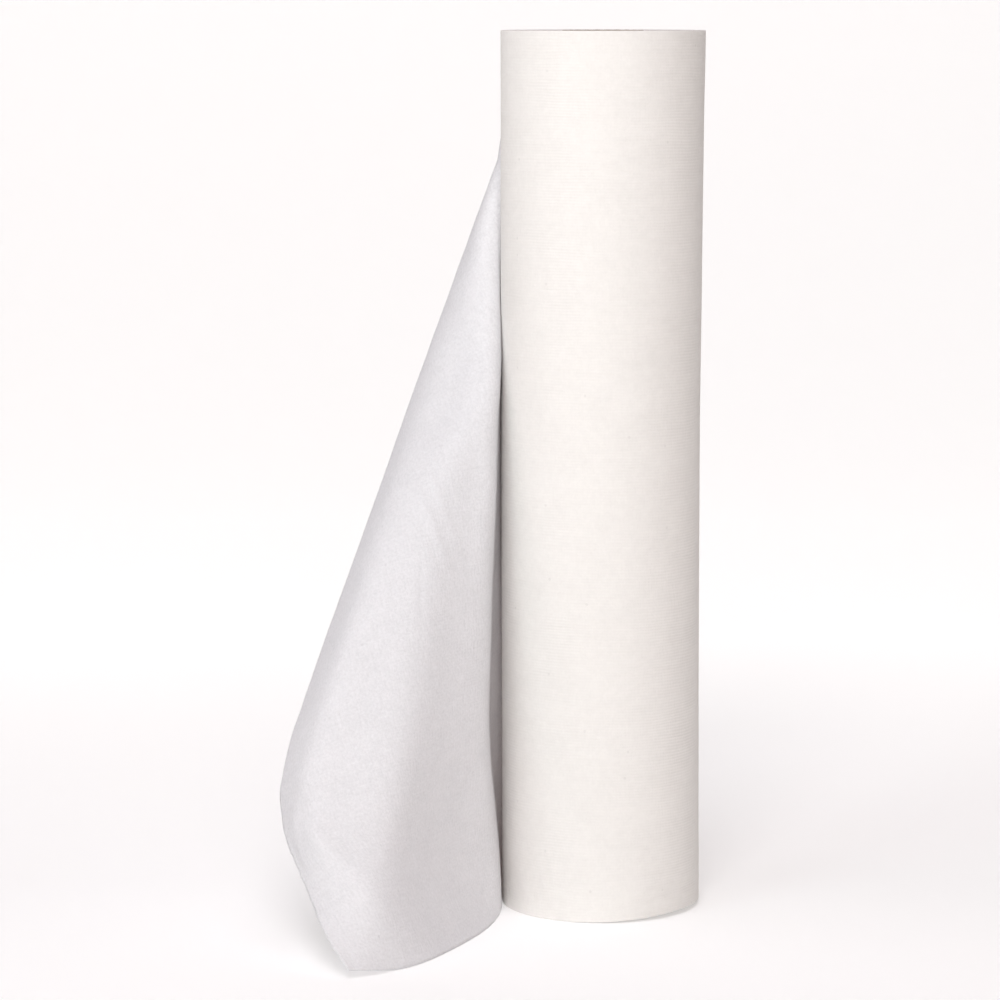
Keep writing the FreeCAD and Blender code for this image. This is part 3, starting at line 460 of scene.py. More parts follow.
    [(-57.2, 5.7, 0), (-57.4, 5.9, 5.3), (-58, 6.4, 16), (-58.9, 7.1, 32), (-59.7, 7.6, 48), (-60.5, 7.7, 64.1), (-60.9, 7.6, 80.2), (-60.9, 7.3, 96.3), (-60.5, 6.9, 112.4), (-60, 6.4, 128.5), (-59.5, 6.1, 144.6), (-59.2, 5.9, 160.7), (-58.9, 5.7, 176.8), (-58.6, 5.5, 192.9), (-58.3, 5.4, 209), (-58, 5.3, 225.1), (-57.8, 5.3, 241.2), (-57.7, 5.3, 257.3), (-57.6, 5.4, 273.5), (-57.5, 5.6, 289.7), (-57.3, 5.8, 305.9), (-57.1, 6.2, 322), (-57.3, 6.6, 338.2), (-56.7, 6.5, 354.4), (-56.6, 7.2, 370.4), (-57.7, 6.1, 386.9), (-67.1, 11.9, 402.3), (-65.6, 26.8, 411.4), (-60.6, 39.1, 419.9), (-57.3, 52.6, 429), (-56.1, 65.3, 438.7), (-52.6, 78.6, 447.4), (-48.8, 87, 452.9), (-47.1, 91.3, 455.5)],
    [(-57.4, -1.8, 0), (-57.7, -1.5, 5.3), (-58.3, -1, 16), (-59.2, -0.3, 32), (-60.2, 0.2, 48), (-61.4, 0.4, 64), (-62.4, 0.3, 80.1), (-62.8, 0.1, 96.2), (-62.6, -0.3, 112.3), (-62.1, -0.7, 128.4), (-61.6, -1.1, 144.5), (-61.2, -1.3, 160.6), (-60.8, -1.6, 176.6), (-60.4, -1.7, 192.7), (-59.9, -1.9, 208.8), (-59.5, -2, 225), (-59.1, -2.1, 241.1), (-58.9, -2, 257.2), (-58.7, -2, 273.4), (-58.5, -1.8, 289.6), (-57.7, -1.6, 305.8), (-57.1, -1.3, 322.1), (-57, -0.9, 338.3), (-56.9, -0.4, 354.4), (-60, -0.9, 370.9), (-67.9, 4, 385.9), (-71.1, 17.2, 396.9), (-66.8, 30.5, 405.5), (-63, 43.7, 414.1), (-58.9, 56.5, 423.2), (-56.8, 69.6, 432.4), (-53.6, 82.6, 441.4), (-49.6, 91.2, 446.6), (-48, 95.5, 449.4)],
    [(-57.2, -9.2, 0), (-57.6, -8.9, 5.3), (-58.1, -8.4, 16), (-58.9, -7.7, 32), (-60, -7.2, 48), (-61.6, -7, 64), (-63.1, -7.1, 80), (-64.1, -7.3, 96.1), (-64.1, -7.6, 112.2), (-63.7, -8.1, 128.3), (-63.2, -8.4, 144.3), (-62.8, -8.7, 160.4), (-62.4, -8.9, 176.5), (-61.8, -9.1, 192.6), (-61.2, -9.3, 208.7), (-60.6, -9.4, 224.8), (-60.1, -9.5, 241), (-59.8, -9.5, 257.1), (-59.4, -9.4, 273.3), (-59, -9.2, 289.5), (-58.1, -9.1, 305.8), (-57.2, -8.5, 322), (-57.1, -8.3, 338.4), (-61.3, -8.2, 354.8), (-69.1, -2.9, 369.3), (-73.2, 8.4, 381.1), (-73, 21.5, 391.2), (-68.6, 34.7, 399.7), (-65.1, 47.8, 408.5), (-61.2, 60.8, 417.4), (-58.2, 73.8, 426.4), (-54.5, 86.9, 435.2), (-50.4, 95.4, 440.5), (-48.7, 99.7, 443.2)],
    [(-57.1, -16.6, 0), (-57.3, -16.4, 5.3), (-57.7, -15.8, 16), (-58.5, -15.1, 32), (-59.7, -14.6, 48), (-61.3, -14.4, 64), (-63, -14.5, 79.9), (-64.2, -14.7, 95.9), (-64.5, -15.1, 112), (-64.1, -15.5, 128.1), (-63.5, -15.9, 144.1), (-63.1, -16.2, 160.2), (-62.7, -16.4, 176.3), (-62.1, -16.6, 192.4), (-61.5, -16.8, 208.5), (-60.8, -16.9, 224.6), (-60.2, -17, 240.8), (-59.8, -17, 257), (-59.4, -16.8, 273.1), (-58.7, -16.8, 289.5), (-57.9, -16.2, 305.6), (-57.2, -16.3, 322.2), (-62.8, -15.6, 338.6), (-69.8, -8.6, 352.1), (-74.9, 0, 365.2), (-76.7, 12.7, 375.9), (-74.9, 25.7, 385.5), (-70.6, 39, 393.9), (-67.3, 52.1, 402.9), (-63.1, 65.1, 411.6), (-60.4, 78.2, 420.7), (-55.1, 91.1, 429), (-51.2, 99.5, 434.3), (-49.3, 103.8, 437)],
    [(-57.3, -24.1, 0), (-57.2, -23.8, 5.3), (-57.3, -23.3, 16), (-58.2, -22.4, 31.9), (-59.5, -21.9, 47.9), (-61, -21.8, 63.9), (-62.7, -21.9, 79.8), (-64, -22.2, 95.8), (-64.5, -22.6, 111.8), (-64.1, -23, 127.9), (-63.5, -23.4, 143.9), (-63.1, -23.7, 160), (-62.7, -23.9, 176.1), (-62.1, -24.1, 192.1), (-61.4, -24.3, 208.2), (-60.8, -24.4, 224.4), (-60, -24.5, 240.5), (-59.7, -24.4, 256.7), (-59.3, -24.4, 273), (-58.8, -24, 289.1), (-57.9, -24.3, 305.9), (-64.2, -22.8, 322.2), (-70.6, -14.6, 335.3), (-75.9, -7.2, 348.8), (-79.4, 4.1, 360.3), (-79.3, 16.9, 370.5), (-76.6, 30, 379.6), (-72.7, 43.2, 388.3), (-69.3, 56.3, 397.2), (-65.2, 69.3, 405.9), (-61.3, 82.4, 414.6), (-55.9, 95.2, 422.8), (-51.7, 103.6, 428.1), (-49.8, 107.8, 430.7)],
    [(-57.8, -31.5, 0), (-57.5, -31.2, 5.3), (-57.2, -30.7, 16), (-59.1, -29.8, 31.9), (-60.8, -29.2, 47.8), (-61.5, -29.3, 63.7), (-62.6, -29.4, 79.7), (-63.8, -29.6, 95.6), (-64.4, -30, 111.6), (-64, -30.5, 127.7), (-63.4, -30.9, 143.7), (-63.1, -31.1, 159.8), (-62.8, -31.4, 175.8), (-62.2, -31.6, 191.9), (-61.6, -31.7, 208), (-61.1, -31.9, 224.1), (-60.2, -31.9, 240.2), (-60.1, -32, 256.5), (-60.9, -31.6, 272.7), (-60.7, -32, 289.2), (-65.8, -29.3, 305.4), (-71.8, -20.9, 318.7), (-76.3, -13.2, 331.9), (-81.6, -4, 344.6), (-83.2, 8.1, 355.5), (-82.6, 21.1, 365.3), (-78.1, 34.4, 373.8), (-74.9, 47.5, 382.7), (-71, 60.6, 391.3), (-66.8, 73.6, 400), (-62.2, 86.6, 408.5), (-56.3, 99.3, 416.6), (-52.1, 107.6, 421.8), (-50, 111.8, 424.4)],
    [(-58.6, -38.9, 0), (-58.3, -38.6, 5.3), (-58.5, -38.2, 16), (-62, -36.7, 31.6), (-63.8, -36, 47.4), (-63.3, -36.5, 63.4), (-63.5, -36.8, 79.4), (-64.2, -37.1, 95.4), (-64.8, -37.5, 111.4), (-64.3, -38, 127.4), (-63.7, -38.4, 143.5), (-63.6, -38.6, 159.5), (-63.5, -38.8, 175.6), (-63.1, -39.1, 191.6), (-62.7, -39.3, 207.7), (-62.8, -39.1, 223.8), (-62.2, -39.5, 240), (-63.6, -39.1, 256.2), (-65.2, -38.3, 272.4), (-68.7, -35.4, 288.4), (-73.1, -28, 302.5), (-77.3, -19.1, 315.2), (-82.7, -10.8, 328.2), (-86.1, -0.4, 340.1), (-87, 12.4, 350.5), (-84, 25.5, 359.5), (-80.1, 38.7, 368.1), (-76.7, 51.8, 376.9), (-72.5, 64.9, 385.5), (-68, 77.9, 394), (-62.7, 90.7, 402.3), (-56.6, 103.3, 410.3), (-52.2, 111.6, 415.5), (-50.1, 115.8, 418.1)],
    [(-59.8, -46.2, 0), (-59.8, -45.9, 5.3), (-61.4, -45.1, 15.9), (-65.9, -42.9, 31.1), (-67.9, -42.1, 47.1), (-66.5, -43.2, 63.1), (-66, -43.9, 79.1), (-65.6, -44.5, 95.1), (-65.7, -44.9, 111.1), (-65.4, -45.4, 127.2), (-65.2, -45.8, 143.2), (-65.4, -46, 159.3), (-65.6, -46, 175.3), (-65.4, -46.4, 191.4), (-65.9, -46.1, 207.5), (-66.5, -46.1, 223.7), (-69.3, -43.7, 239.5), (-71.7, -41, 255.2), (-72.7, -40.2, 271.1), (-75.9, -36.5, 286.8), (-79.1, -25.2, 298.7), (-83.3, -16.8, 311.5), (-88.9, -8.6, 324.6), (-90, 4, 335.1), (-89.4, 16.7, 345), (-85.6, 30, 353.6), (-82.2, 43, 362.4), (-78.2, 56.1, 371), (-73.9, 69.2, 379.6), (-68.8, 82.1, 387.9), (-63.1, 94.7, 396), (-56.6, 107.2, 404), (-52.1, 115.5, 409.2), (-49.9, 119.7, 411.7)],
    [(-61.2, -53.5, 0), (-61.9, -53.1, 5.3), (-65.3, -51.4, 15.3), (-69.3, -49.5, 30.7), (-71.6, -48.5, 46.7), (-71.5, -48.8, 62.8), (-70.1, -50.1, 78.8), (-69.7, -50.8, 94.8), (-68.6, -51.9, 110.8), (-68.3, -52.4, 126.9), (-69.2, -52.3, 143), (-69.6, -52.3, 159), (-70.3, -52.2, 175.1), (-70.9, -51.8, 191.1), (-72.4, -50.6, 207.1), (-74, -48.7, 222.9), (-75.7, -46.6, 238.7), (-77.3, -44.9, 254.3), (-79.5, -44.1, 270.7), (-83.3, -34.2, 283.8), (-84.4, -22.6, 294.8), (-90.3, -15.5, 308.6), (-93.5, -4.7, 320.1), (-93.9, 8.1, 330.3), (-91.8, 21.1, 339.5), (-87.3, 34.3, 347.8), (-84, 47.3, 356.7), (-79.6, 60.4, 365.1), (-74.9, 73.4, 373.5), (-69.4, 86.2, 381.7), (-63.2, 98.7, 389.8), (-56.5, 111.1, 397.6), (-51.9, 119.3, 402.8), (-49.6, 123.5, 405.4)],
    [(-62.9, -60.8, 0), (-64.6, -60, 5), (-68.1, -58.3, 15), (-72.7, -56, 30.3), (-75.5, -54.7, 46.3), (-75.7, -54.8, 62.5), (-74.6, -55.9, 78.5), (-74, -56.8, 94.6), (-73.1, -57.8, 110.6), (-73.1, -58.3, 126.7), (-73.7, -58.2, 142.7), (-74.7, -57.7, 158.8), (-75.7, -57.2, 174.8), (-76.7, -56.4, 190.7), (-78.1, -55, 206.6), (-79.6, -53.7, 222.4), (-82.4, -50.6, 238.1), (-84, -48.8, 253.7), (-87.9, -43.6, 269.1), (-88.8, -31.4, 279.8), (-91.1, -21.5, 291.9), (-96, -12.6, 304.6), (-97.9, -0.7, 315.4), (-97.3, 12.3, 325.1), (-92.9, 25.6, 333.5), (-89.6, 38.6, 342.3), (-85.3, 51.7, 350.7), (-80.8, 64.7, 359.2), (-75.6, 77.6, 367.4), (-69.7, 90.2, 375.5), (-63.1, 102.6, 383.4), (-56.2, 114.9, 391.2), (-51.5, 123.1, 396.4), (-49.2, 127.2, 398.9)],
    [(-64.8, -67.9, 0), (-67.3, -66.9, 4.7), (-71.2, -65, 14.7), (-75.9, -62.6, 30), (-79, -61.1, 45.9), (-79.9, -60.9, 62.1), (-79.2, -61.7, 78.2), (-78.5, -62.7, 94.3), (-77.6, -63.8, 110.4), (-78.2, -63.7, 126.4), (-78.8, -63.8, 142.5), (-80.3, -62.8, 158.4), (-81.3, -62.2, 174.4), (-82.6, -61.1, 190.4), (-83.9, -60.1, 206.3), (-86.2, -57.4, 222), (-88.4, -54.1, 237.2), (-91.4, -51.3, 253), (-94.6, -41.7, 266), (-95.1, -29.8, 276.6), (-97.9, -19.7, 288.8), (-100.9, -9, 300.2), (-101, 3.9, 310.2), (-99, 16.7, 319.4), (-94.9, 29.9, 327.8), (-91.2, 42.9, 336.4), (-86.6, 56, 344.8), (-81.7, 68.9, 353.1), (-76, 81.6, 361.2), (-69.7, 94.2, 369.2), (-62.8, 106.5, 377), (-55.7, 118.7, 384.8), (-50.9, 126.8, 389.9), (-48.6, 130.9, 392.5)],
    [(-67, -75, 0), (-69.7, -73.9, 4.6), (-73.9, -71.8, 14.4), (-79, -69.2, 29.7), (-82.6, -67.4, 45.5), (-83.4, -67.3, 61.8), (-83.5, -67.7, 78), (-82.7, -68.8, 94.1), (-82.3, -69.6, 110.1), (-83.2, -69.3, 126.2), (-84, -69.1, 142.2), (-85.4, -68.2, 158.2), (-86.7, -67.4, 174.1), (-87.9, -66.4, 190), (-89.7, -64.7, 205.9), (-92.1, -61.7, 221.4), (-95.7, -57.9, 236.9), (-99, -50, 250.7), (-101.3, -39.7, 262.8), (-101.5, -28.2, 273.6), (-104.1, -17.1, 285.1), (-104.4, -4.7, 295), (-104.4, 7.9, 305.1), (-100.4, 21.2, 313.4), (-96.9, 34.2, 322.1), (-92.4, 47.2, 330.5), (-87.6, 60.2, 338.8), (-82.1, 73, 346.9), (-76.1, 85.6, 354.9), (-69.4, 98, 362.8), (-62.3, 110.2, 370.6), (-55, 122.3, 378.3), (-50.2, 130.5, 383.5), (-47.8, 134.5, 386)],
    [(-69.4, -82.1, 0), (-72.1, -80.8, 4.6), (-76.8, -78.5, 14.2), (-82, -75.8, 29.4), (-86.1, -73.9, 45.2), (-87.2, -73.6, 61.5), (-87.4, -74, 77.7), (-86.9, -74.9, 93.8), (-86.9, -75.4, 109.9), (-88, -75, 126), (-89, -74.7, 142), (-90.3, -73.9, 158), (-92.1, -72.6, 173.8), (-93.6, -71.3, 189.7), (-96.2, -68.8, 205.5), (-99.6, -64, 220.5), (-103, -57.8, 235), (-105.9, -48.6, 247.9), (-107.5, -38.1, 259.8), (-108.8, -26.2, 270.8), (-107.9, -13.1, 280), (-108.9, -0.9, 290.4), (-106.4, 12.4, 299.3), (-102.2, 25.4, 307.6), (-98.5, 38.5, 316.2), (-93.5, 51.5, 324.4), (-88.3, 64.3, 332.6), (-82.3, 77, 340.6), (-75.9, 89.5, 348.6), (-68.9, 101.7, 356.4), (-61.6, 113.9, 364.2), (-54.2, 125.9, 371.9), (-49.4, 134, 377), (-46.9, 138.1, 379.6)],
    [(-72, -89.1, 0), (-74.7, -87.8, 4.6), (-79.6, -85.3, 14.1), (-85.1, -82.4, 29.2), (-89.3, -80.4, 44.9), (-90.9, -79.9, 61.2), (-91.1, -80.4, 77.5), (-91, -81.1, 93.6), (-91.3, -81.5, 109.7), (-92.5, -81, 125.8), (-93.6, -80.6, 141.8), (-95.4, -79.5, 157.7), (-97.4, -77.9, 173.5), (-100, -75.5, 189.3), (-103.4, -70.9, 204.4), (-106.9, -64.8, 218.8), (-110.2, -56.8, 232.5), (-112.6, -46.9, 245), (-114.1, -35.5, 256.4), (-113.5, -22.5, 266), (-112.3, -9.5, 275.2), (-111.9, 3.4, 285), (-107.5, 16.7, 293.2), (-104.3, 29.7, 301.9), (-99.4, 42.8, 310.1), (-94.4, 55.6, 318.3), (-88.5, 68.4, 326.3), (-82.2, 80.9, 334.3), (-75.3, 93.2, 342.1), (-68.1, 105.4, 349.9), (-60.7, 117.4, 357.7), (-53.3, 129.5, 365.4), (-48.4, 137.5, 370.5), (-45.9, 141.6, 373.1)],
    [(-74.7, -96, 0), (-77.5, -94.6, 4.5), (-82.5, -92, 13.9), (-88.3, -89, 29), (-92.4, -87, 44.8), (-94.5, -86.3, 61), (-94.9, -86.7, 77.3), (-95.1, -87.3, 93.4), (-95.9, -87.3, 109.6), (-96.9, -87.1, 125.6), (-98.5, -86.2, 141.6), (-100.9, -84.6, 157.4), (-103.9, -82, 173), (-107.3, -77.9, 188.2), (-110.7, -71.6, 202.7), (-114.1, -64.5, 216.7), (-117.1, -55.5, 229.8), (-118.9, -44.3, 241.5), (-118.8, -31.7, 251.7), (-116.7, -18.5, 260.7), (-116.6, -5.6, 270.4), (-113.2, 7.8, 278.9), (-109.7, 20.8, 287.5), (-105.3, 34, 295.8), (-100.3, 46.9, 304), (-94.6, 59.7, 312.1), (-88.4, 72.2, 320), (-81.7, 84.6, 327.9), (-74.6, 96.8, 335.7), (-67.2, 108.9, 343.4), (-59.6, 120.9, 351.2), (-52.2, 132.9, 358.9), (-47.2, 141, 364), (-44.8, 145, 366.6)],
    [(-77.6, -102.8, 0), (-80.4, -101.4, 4.5), (-85.4, -98.7, 13.9), (-91.3, -95.6, 29), (-95.5, -93.5, 44.7), (-97.9, -92.7, 60.9), (-98.7, -93.1, 77.1), (-99, -93.6, 93.3), (-100.1, -93.4, 109.4), (-101.5, -92.9, 125.4), (-104.1, -91.4, 141.3), (-107.5, -88.4, 156.8), (-111.1, -84.3, 171.9), (-114.6, -78.7, 186.6), (-117.9, -71.8, 200.7), (-121.3, -63.7, 214.4), (-123.3, -52.9, 226.2), (-123.7, -40.5, 236.8), (-121.9, -27.6, 246.2), (-121.1, -14.7, 255.8), (-118.6, -1.3, 264.6), (-115, 11.9, 273), (-111.1, 25.1, 281.5), (-106.1, 38.1, 289.7), (-100.6, 50.9, 297.8), (-94.5, 63.5, 305.7), (-87.9, 76, 313.6), (-80.8, 88.2, 321.4), (-73.5, 100.3, 329.2), (-66, 112.3, 336.9), (-58.4, 124.3, 344.7), (-50.9, 136.3, 352.4), (-45.9, 144.3, 357.5), (-43.5, 148.3, 360)],
    [(-80.6, -109.6, 0), (-83.4, -108.1, 4.5), (-88.3, -105.4, 14), (-94.2, -102.2, 29), (-98.7, -100, 44.6), (-101.3, -99.2, 60.8), (-102.3, -99.5, 77.1), (-102.9, -99.9, 93.2), (-104.5, -99.5, 109.3), (-107, -98.2, 125.2), (-110.9, -94.9, 140.6), (-114.7, -90.2, 155.4), (-118.4, -85.3, 170.3), (-121.8, -79.1, 184.7), (-125.2, -71.7, 198.6), (-127.9, -61.4, 211.1), (-128.3, -49.2, 221.7), (-127.1, -36.5, 231.5), (-125.9, -23.7, 241.2), (-123.7, -10.4, 250.2), (-120.2, 2.9, 258.6), (-116.6, 16.1, 267.1), (-111.9, 29.2, 275.3), (-106.5, 42.1, 283.4), (-100.4, 54.7, 291.4), (-93.9, 67.2, 299.3), (-86.9, 79.5, 307.1), (-79.7, 91.6, 314.9), (-72.2, 103.6, 322.7), (-64.6, 115.6, 330.4), (-57, 127.5, 338.1), (-49.5, 139.5, 345.8), (-44.5, 147.6, 351), (-42.1, 151.6, 353.5)],
    [(-83.8, -116.3, 0), (-86.5, -114.8, 4.6), (-91.2, -112.1, 14.1), (-97.3, -108.8, 29), (-101.9, -106.6, 44.7), (-104.7, -105.6, 60.8), (-105.9, -106, 77.1), (-106.9, -106.2, 93.2), (-109.7, -105.1, 109.2), (-113.7, -102, 124.6), (-118, -96.9, 139.2), (-122, -91.4, 153.8), (-125.6, -86, 168.5), (-129.1, -79.5, 182.8), (-132.2, -70, 195.8), (-133, -57.8, 206.6), (-132, -45.3, 216.6), (-130.9, -32.5, 226.4), (-129, -19.5, 235.8), (-125.3, -6.2, 244.2), (-122, 7, 252.7), (-117.4, 20.2, 260.9), (-112.3, 33.2, 269.1), (-106.3, 45.9, 277), (-99.8, 58.4, 284.9), (-92.9, 70.7, 292.8), (-85.7, 82.9, 300.6), (-78.2, 94.9, 308.4), (-70.7, 106.8, 316.1), (-63.1, 118.8, 323.9), (-55.5, 130.7, 331.6), (-48, 142.7, 339.3), (-43, 150.8, 344.4), (-40.5, 154.8, 347)],
    [(-87.1, -123, 0), (-89.7, -121.5, 4.6), (-94.3, -118.7, 14.1), (-100.4, -115.3, 29.2), (-104.9, -113.1, 44.8), (-108.2, -111.9, 60.9), (-109.5, -112.3, 77), (-112.1, -111.8, 93.1), (-116.2, -109.1, 108.6), (-120.9, -103.9, 123.2), (-125.2, -98.1, 137.5), (-129.2, -92.4, 152.1), (-132.8, -87, 166.8), (-136.5, -78.7, 180.5), (-137.4, -66.3, 191.3), (-136.7, -53.9, 201.4), (-135.6, -41.2, 211.4), (-134.5, -28.4, 221.2), (-130.6, -15.2, 229.7), (-127.3, -2, 238.3), (-122.7, 11.2, 246.5), (-117.9, 24.2, 254.7), (-112, 37, 262.7), (-105.6, 49.5, 270.6), (-98.6, 61.8, 278.4), (-91.5, 74, 286.2), (-84.1, 86, 294), (-76.5, 98, 301.8), (-68.9, 109.9, 309.6), (-61.3, 121.9, 317.3), (-53.8, 133.8, 325.1), (-46.3, 145.9, 332.8), (-41.3, 153.9, 337.9), (-38.9, 158, 340.5)],
    [(-90.4, -129.7, 0.1), (-92.8, -128.2, 4.8), (-97.4, -125.3, 14.4), (-103.3, -121.8, 29.4), (-108.1, -119.5, 45.1), (-111.5, -118.4, 61), (-114.2, -118.5, 77.2), (-118.4, -116.1, 92.6), (-123.4, -111.2, 107.3), (-128, -105.2, 121.4), (-132.5, -99.2, 135.8), (-136.3, -93.6, 150.3), (-140.5, -87.3, 165), (-142.4, -75.1, 176.3), (-141.4, -62.6, 186.3), (-140, -49.8, 196.1), (-139.5, -37.3, 206.3), (-136.2, -24.1, 215.2), (-132.6, -11, 223.9), (-128.1, 2.1, 232.1), (-123.2, 15.2, 240.3), (-117.5, 28, 248.3), (-111.2, 40.6, 256.2), (-104.3, 52.9, 264.1), (-97.1, 65, 271.9), (-89.7, 77.1, 279.7), (-82.2, 89, 287.5), (-74.6, 101, 295.3), (-67, 112.9, 303.1), (-59.4, 124.9, 310.8), (-51.9, 136.9, 318.5), (-44.5, 148.9, 326.2), (-39.6, 157, 331.4), (-37.1, 161, 333.9)],
    [(-93.9, -136.2, 0), (-96, -134.8, 4.9), (-100.4, -131.7, 14.7), (-106.1, -128.4, 29.9), (-111.2, -125.9, 45.4), (-115, -124.8, 61.4), (-120, -123, 76.7), (-125.5, -118.8, 91.5), (-130.5, -112.3, 105.4), (-135.3, -106.2, 119.6), (-139.5, -100.1, 133.9), (-143.9, -95.2, 148.9), (-147.1, -84.2, 161.3), (-146.3, -71.3, 171.2), (-144.8, -58.6, 181), (-143.9, -45.9, 191.1), (-142.2, -33.1, 200.7), (-137.8, -19.9, 209.2), (-133.7, -6.9, 217.8), (-128.5, 6.1, 225.8), (-122.9, 18.9, 233.9), (-116.6, 31.6, 241.8), (-109.8, 43.9, 249.7), (-102.5, 56, 257.5), (-95.1, 68, 265.4), (-87.6, 79.9, 273.2), (-80, 91.9, 281), (-72.4, 103.8, 288.8), (-64.9, 115.8, 296.5), (-57.4, 127.8, 304.3), (-49.9, 139.8, 312), (-42.5, 151.9, 319.7), (-37.6, 160, 324.8), (-35.2, 164, 327.4)],
    [(-97.5, -142.8, 0.2), (-99.5, -141.2, 5.1), (-103.4, -138.3, 15.2), (-109.2, -134.7, 30.5), (-114.3, -132.3, 46.1), (-119.6, -130.6, 61.7), (-127.8, -126.6, 75.9), (-132.4, -120.1, 89.6), (-137.6, -113.7, 103.6), (-142.5, -106.9, 117.5), (-146.6, -102.2, 132.4), (-151.3, -93.3, 146), (-151, -79.9, 156), (-150.3, -67.7, 166.3), (-147.9, -54.4, 175.5), (-147.5, -41.9, 185.9), (-143.6, -28.7, 194.6), (-139.4, -15.8, 203.2), (-134, -2.9, 211.4), (-128.3, 9.9, 219.4), (-121.9, 22.5, 227.4), (-115.1, 34.8, 235.3), (-107.9, 46.9, 243.1), (-100.4, 58.8, 251), (-92.8, 70.7, 258.8), (-85.2, 82.6, 266.7), (-77.6, 94.6, 274.5), (-70.1, 106.5, 282.2), (-62.6, 118.5, 290), (-55.2, 130.6, 297.7), (-47.8, 142.7, 305.5), (-40.5, 154.8, 313.2), (-35.6, 162.9, 318.3), (-33.2, 166.9, 320.8)],
    [(-101.7, -148.9, 0), (-103.7, -147.2, 5.1), (-106.9, -144.4, 15.5), (-112.7, -140.8, 31.1), (-117.9, -138.3, 46.8), (-125.8, -135.1, 61.6), (-134.1, -128, 73.5), (-139.5, -122.1, 88), (-144.9, -114.4, 101.4), (-149.3, -108.8, 115.7), (-154.5, -101.6, 130.1), (-155.8, -88.8, 140.9), (-154.8, -76.5, 151.1), (-153.5, -63.4, 160.8), (-151.8, -50.6, 170.5), (-149.7, -37.6, 180.1), (-145.1, -24.6, 188.6), (-139.7, -11.8, 196.9), (-133.7, 0.9, 205), (-127.2, 13.4, 212.9), (-120.4, 25.7, 220.8), (-113.1, 37.8, 228.7), (-105.5, 49.6, 236.6), (-97.8, 61.4, 244.5), (-90.2, 73.3, 252.4), (-82.6, 85.2, 260.2), (-75.1, 97.1, 268), (-67.6, 109.2, 275.7), (-60.3, 121.2, 283.5), (-52.9, 133.3, 291.2), (-45.6, 145.5, 298.9), (-38.3, 157.6, 306.6), (-33.5, 165.7, 311.8), (-31.1, 169.8, 314.3)],
    [(-106.2, -154.8, 0.3), (-107.8, -153, 5.3), (-111.3, -150.2, 15.9), (-116.3, -146.5, 31.7), (-122.9, -144, 47.6), (-132.4, -137.5, 60.1), (-142.8, -131.5, 72.6), (-146.3, -122.8, 85.6), (-151.7, -116.3, 99.7), (-157.3, -110.1, 114.1), (-160.1, -97.7, 125.5), (-159.5, -85.4, 135.9), (-158.4, -72.3, 145.8), (-156.5, -59.5, 155.5), (-155.5, -46.5, 165.4), (-151.1, -33.3, 174), (-145.5, -20.5, 182.3), (-139.3, -8, 190.5), (-132.6, 4.4, 198.5), (-125.6, 16.6, 206.4), (-118.2, 28.6, 214.3), (-110.6, 40.4, 222.2), (-102.8, 52.1, 230.2), (-95, 63.8, 238.1), (-87.3, 75.7, 245.9), (-79.8, 87.6, 253.7), (-72.4, 99.6, 261.5), (-65, 111.7, 269.3), (-57.8, 123.8, 277), (-50.5, 136, 284.7), (-43.3, 148.2, 292.4), (-36.1, 160.4, 300.1), (-31.3, 168.5, 305.2), (-28.9, 172.6, 307.8)],
    [(-111.7, -159.8, -0.1), (-112.8, -158.4, 5.6), (-115.8, -155.3, 16.1), (-120.8, -152.1, 32.4), (-128.9, -147.5, 46.9), (-139.2, -139.9, 59.1), (-148.1, -132, 69.2), (-153.4, -124.6, 84), (-159, -117.6, 97.5), (-164.1, -107.2, 110.3), (-163.9, -94.1, 120.3), (-163.4, -81.4, 130.7), (-161.2, -68.3, 140.2), (-160.7, -55.5, 150.5), (-156.8, -42.1, 159.2), (-151.4, -29.3, 167.7), (-145, -16.8, 175.9), (-138.1, -4.6, 183.9), (-130.8, 7.5, 191.9), (-123.3, 19.4, 199.9), (-115.6, 31.2, 207.8), (-107.7, 42.8, 215.8), (-99.8, 54.4, 223.7), (-92, 66.1, 231.6), (-84.3, 77.9, 239.5), (-76.9, 89.9, 247.3), (-69.5, 102, 255.1), (-62.3, 114.2, 262.8), (-55.2, 126.4, 270.5), (-48, 138.6, 278.2), (-40.9, 150.9, 285.9), (-33.7, 163.1, 293.6), (-28.9, 171.3, 298.7), (-26.6, 175.3, 301.3)],
    [(-116.8, -164.8, 0.9), (-117.9, -163, 6.2), (-121.1, -160.3, 16.6), (-126.5, -155.8, 32), (-136.3, -149.4, 45.2), (-144.5, -141.8, 57.3), (-160.4, -137.4, 69.9), (-159.2, -124, 80.7), (-166.1, -115.5, 93.8), (-167.5, -103.1, 105), (-168.6, -90.6, 115.7), (-166.2, -77.2, 125.2), (-165.5, -64.5, 135.4), (-162.5, -51, 144.6), (-157, -38.1, 152.9), (-150.8, -25.6, 161.3), (-143.5, -13.5, 169.3), (-136.2, -1.5, 177.4), (-128.5, 10.3, 185.4), (-120.7, 21.9, 193.4), (-112.6, 33.5, 201.4), (-104.6, 45, 209.4), (-96.6, 56.5, 217.4), (-88.8, 68.2, 225.3), (-81.2, 80.1, 233.1), (-73.8, 92.2, 240.9), (-66.7, 104.3, 248.6), (-59.6, 116.6, 256.3), (-52.5, 128.9, 264), (-45.5, 141.2, 271.7), (-38.4, 153.5, 279.4), (-31.3, 165.8, 287.1), (-26.6, 173.9, 292.2), (-24.2, 178, 294.8)],
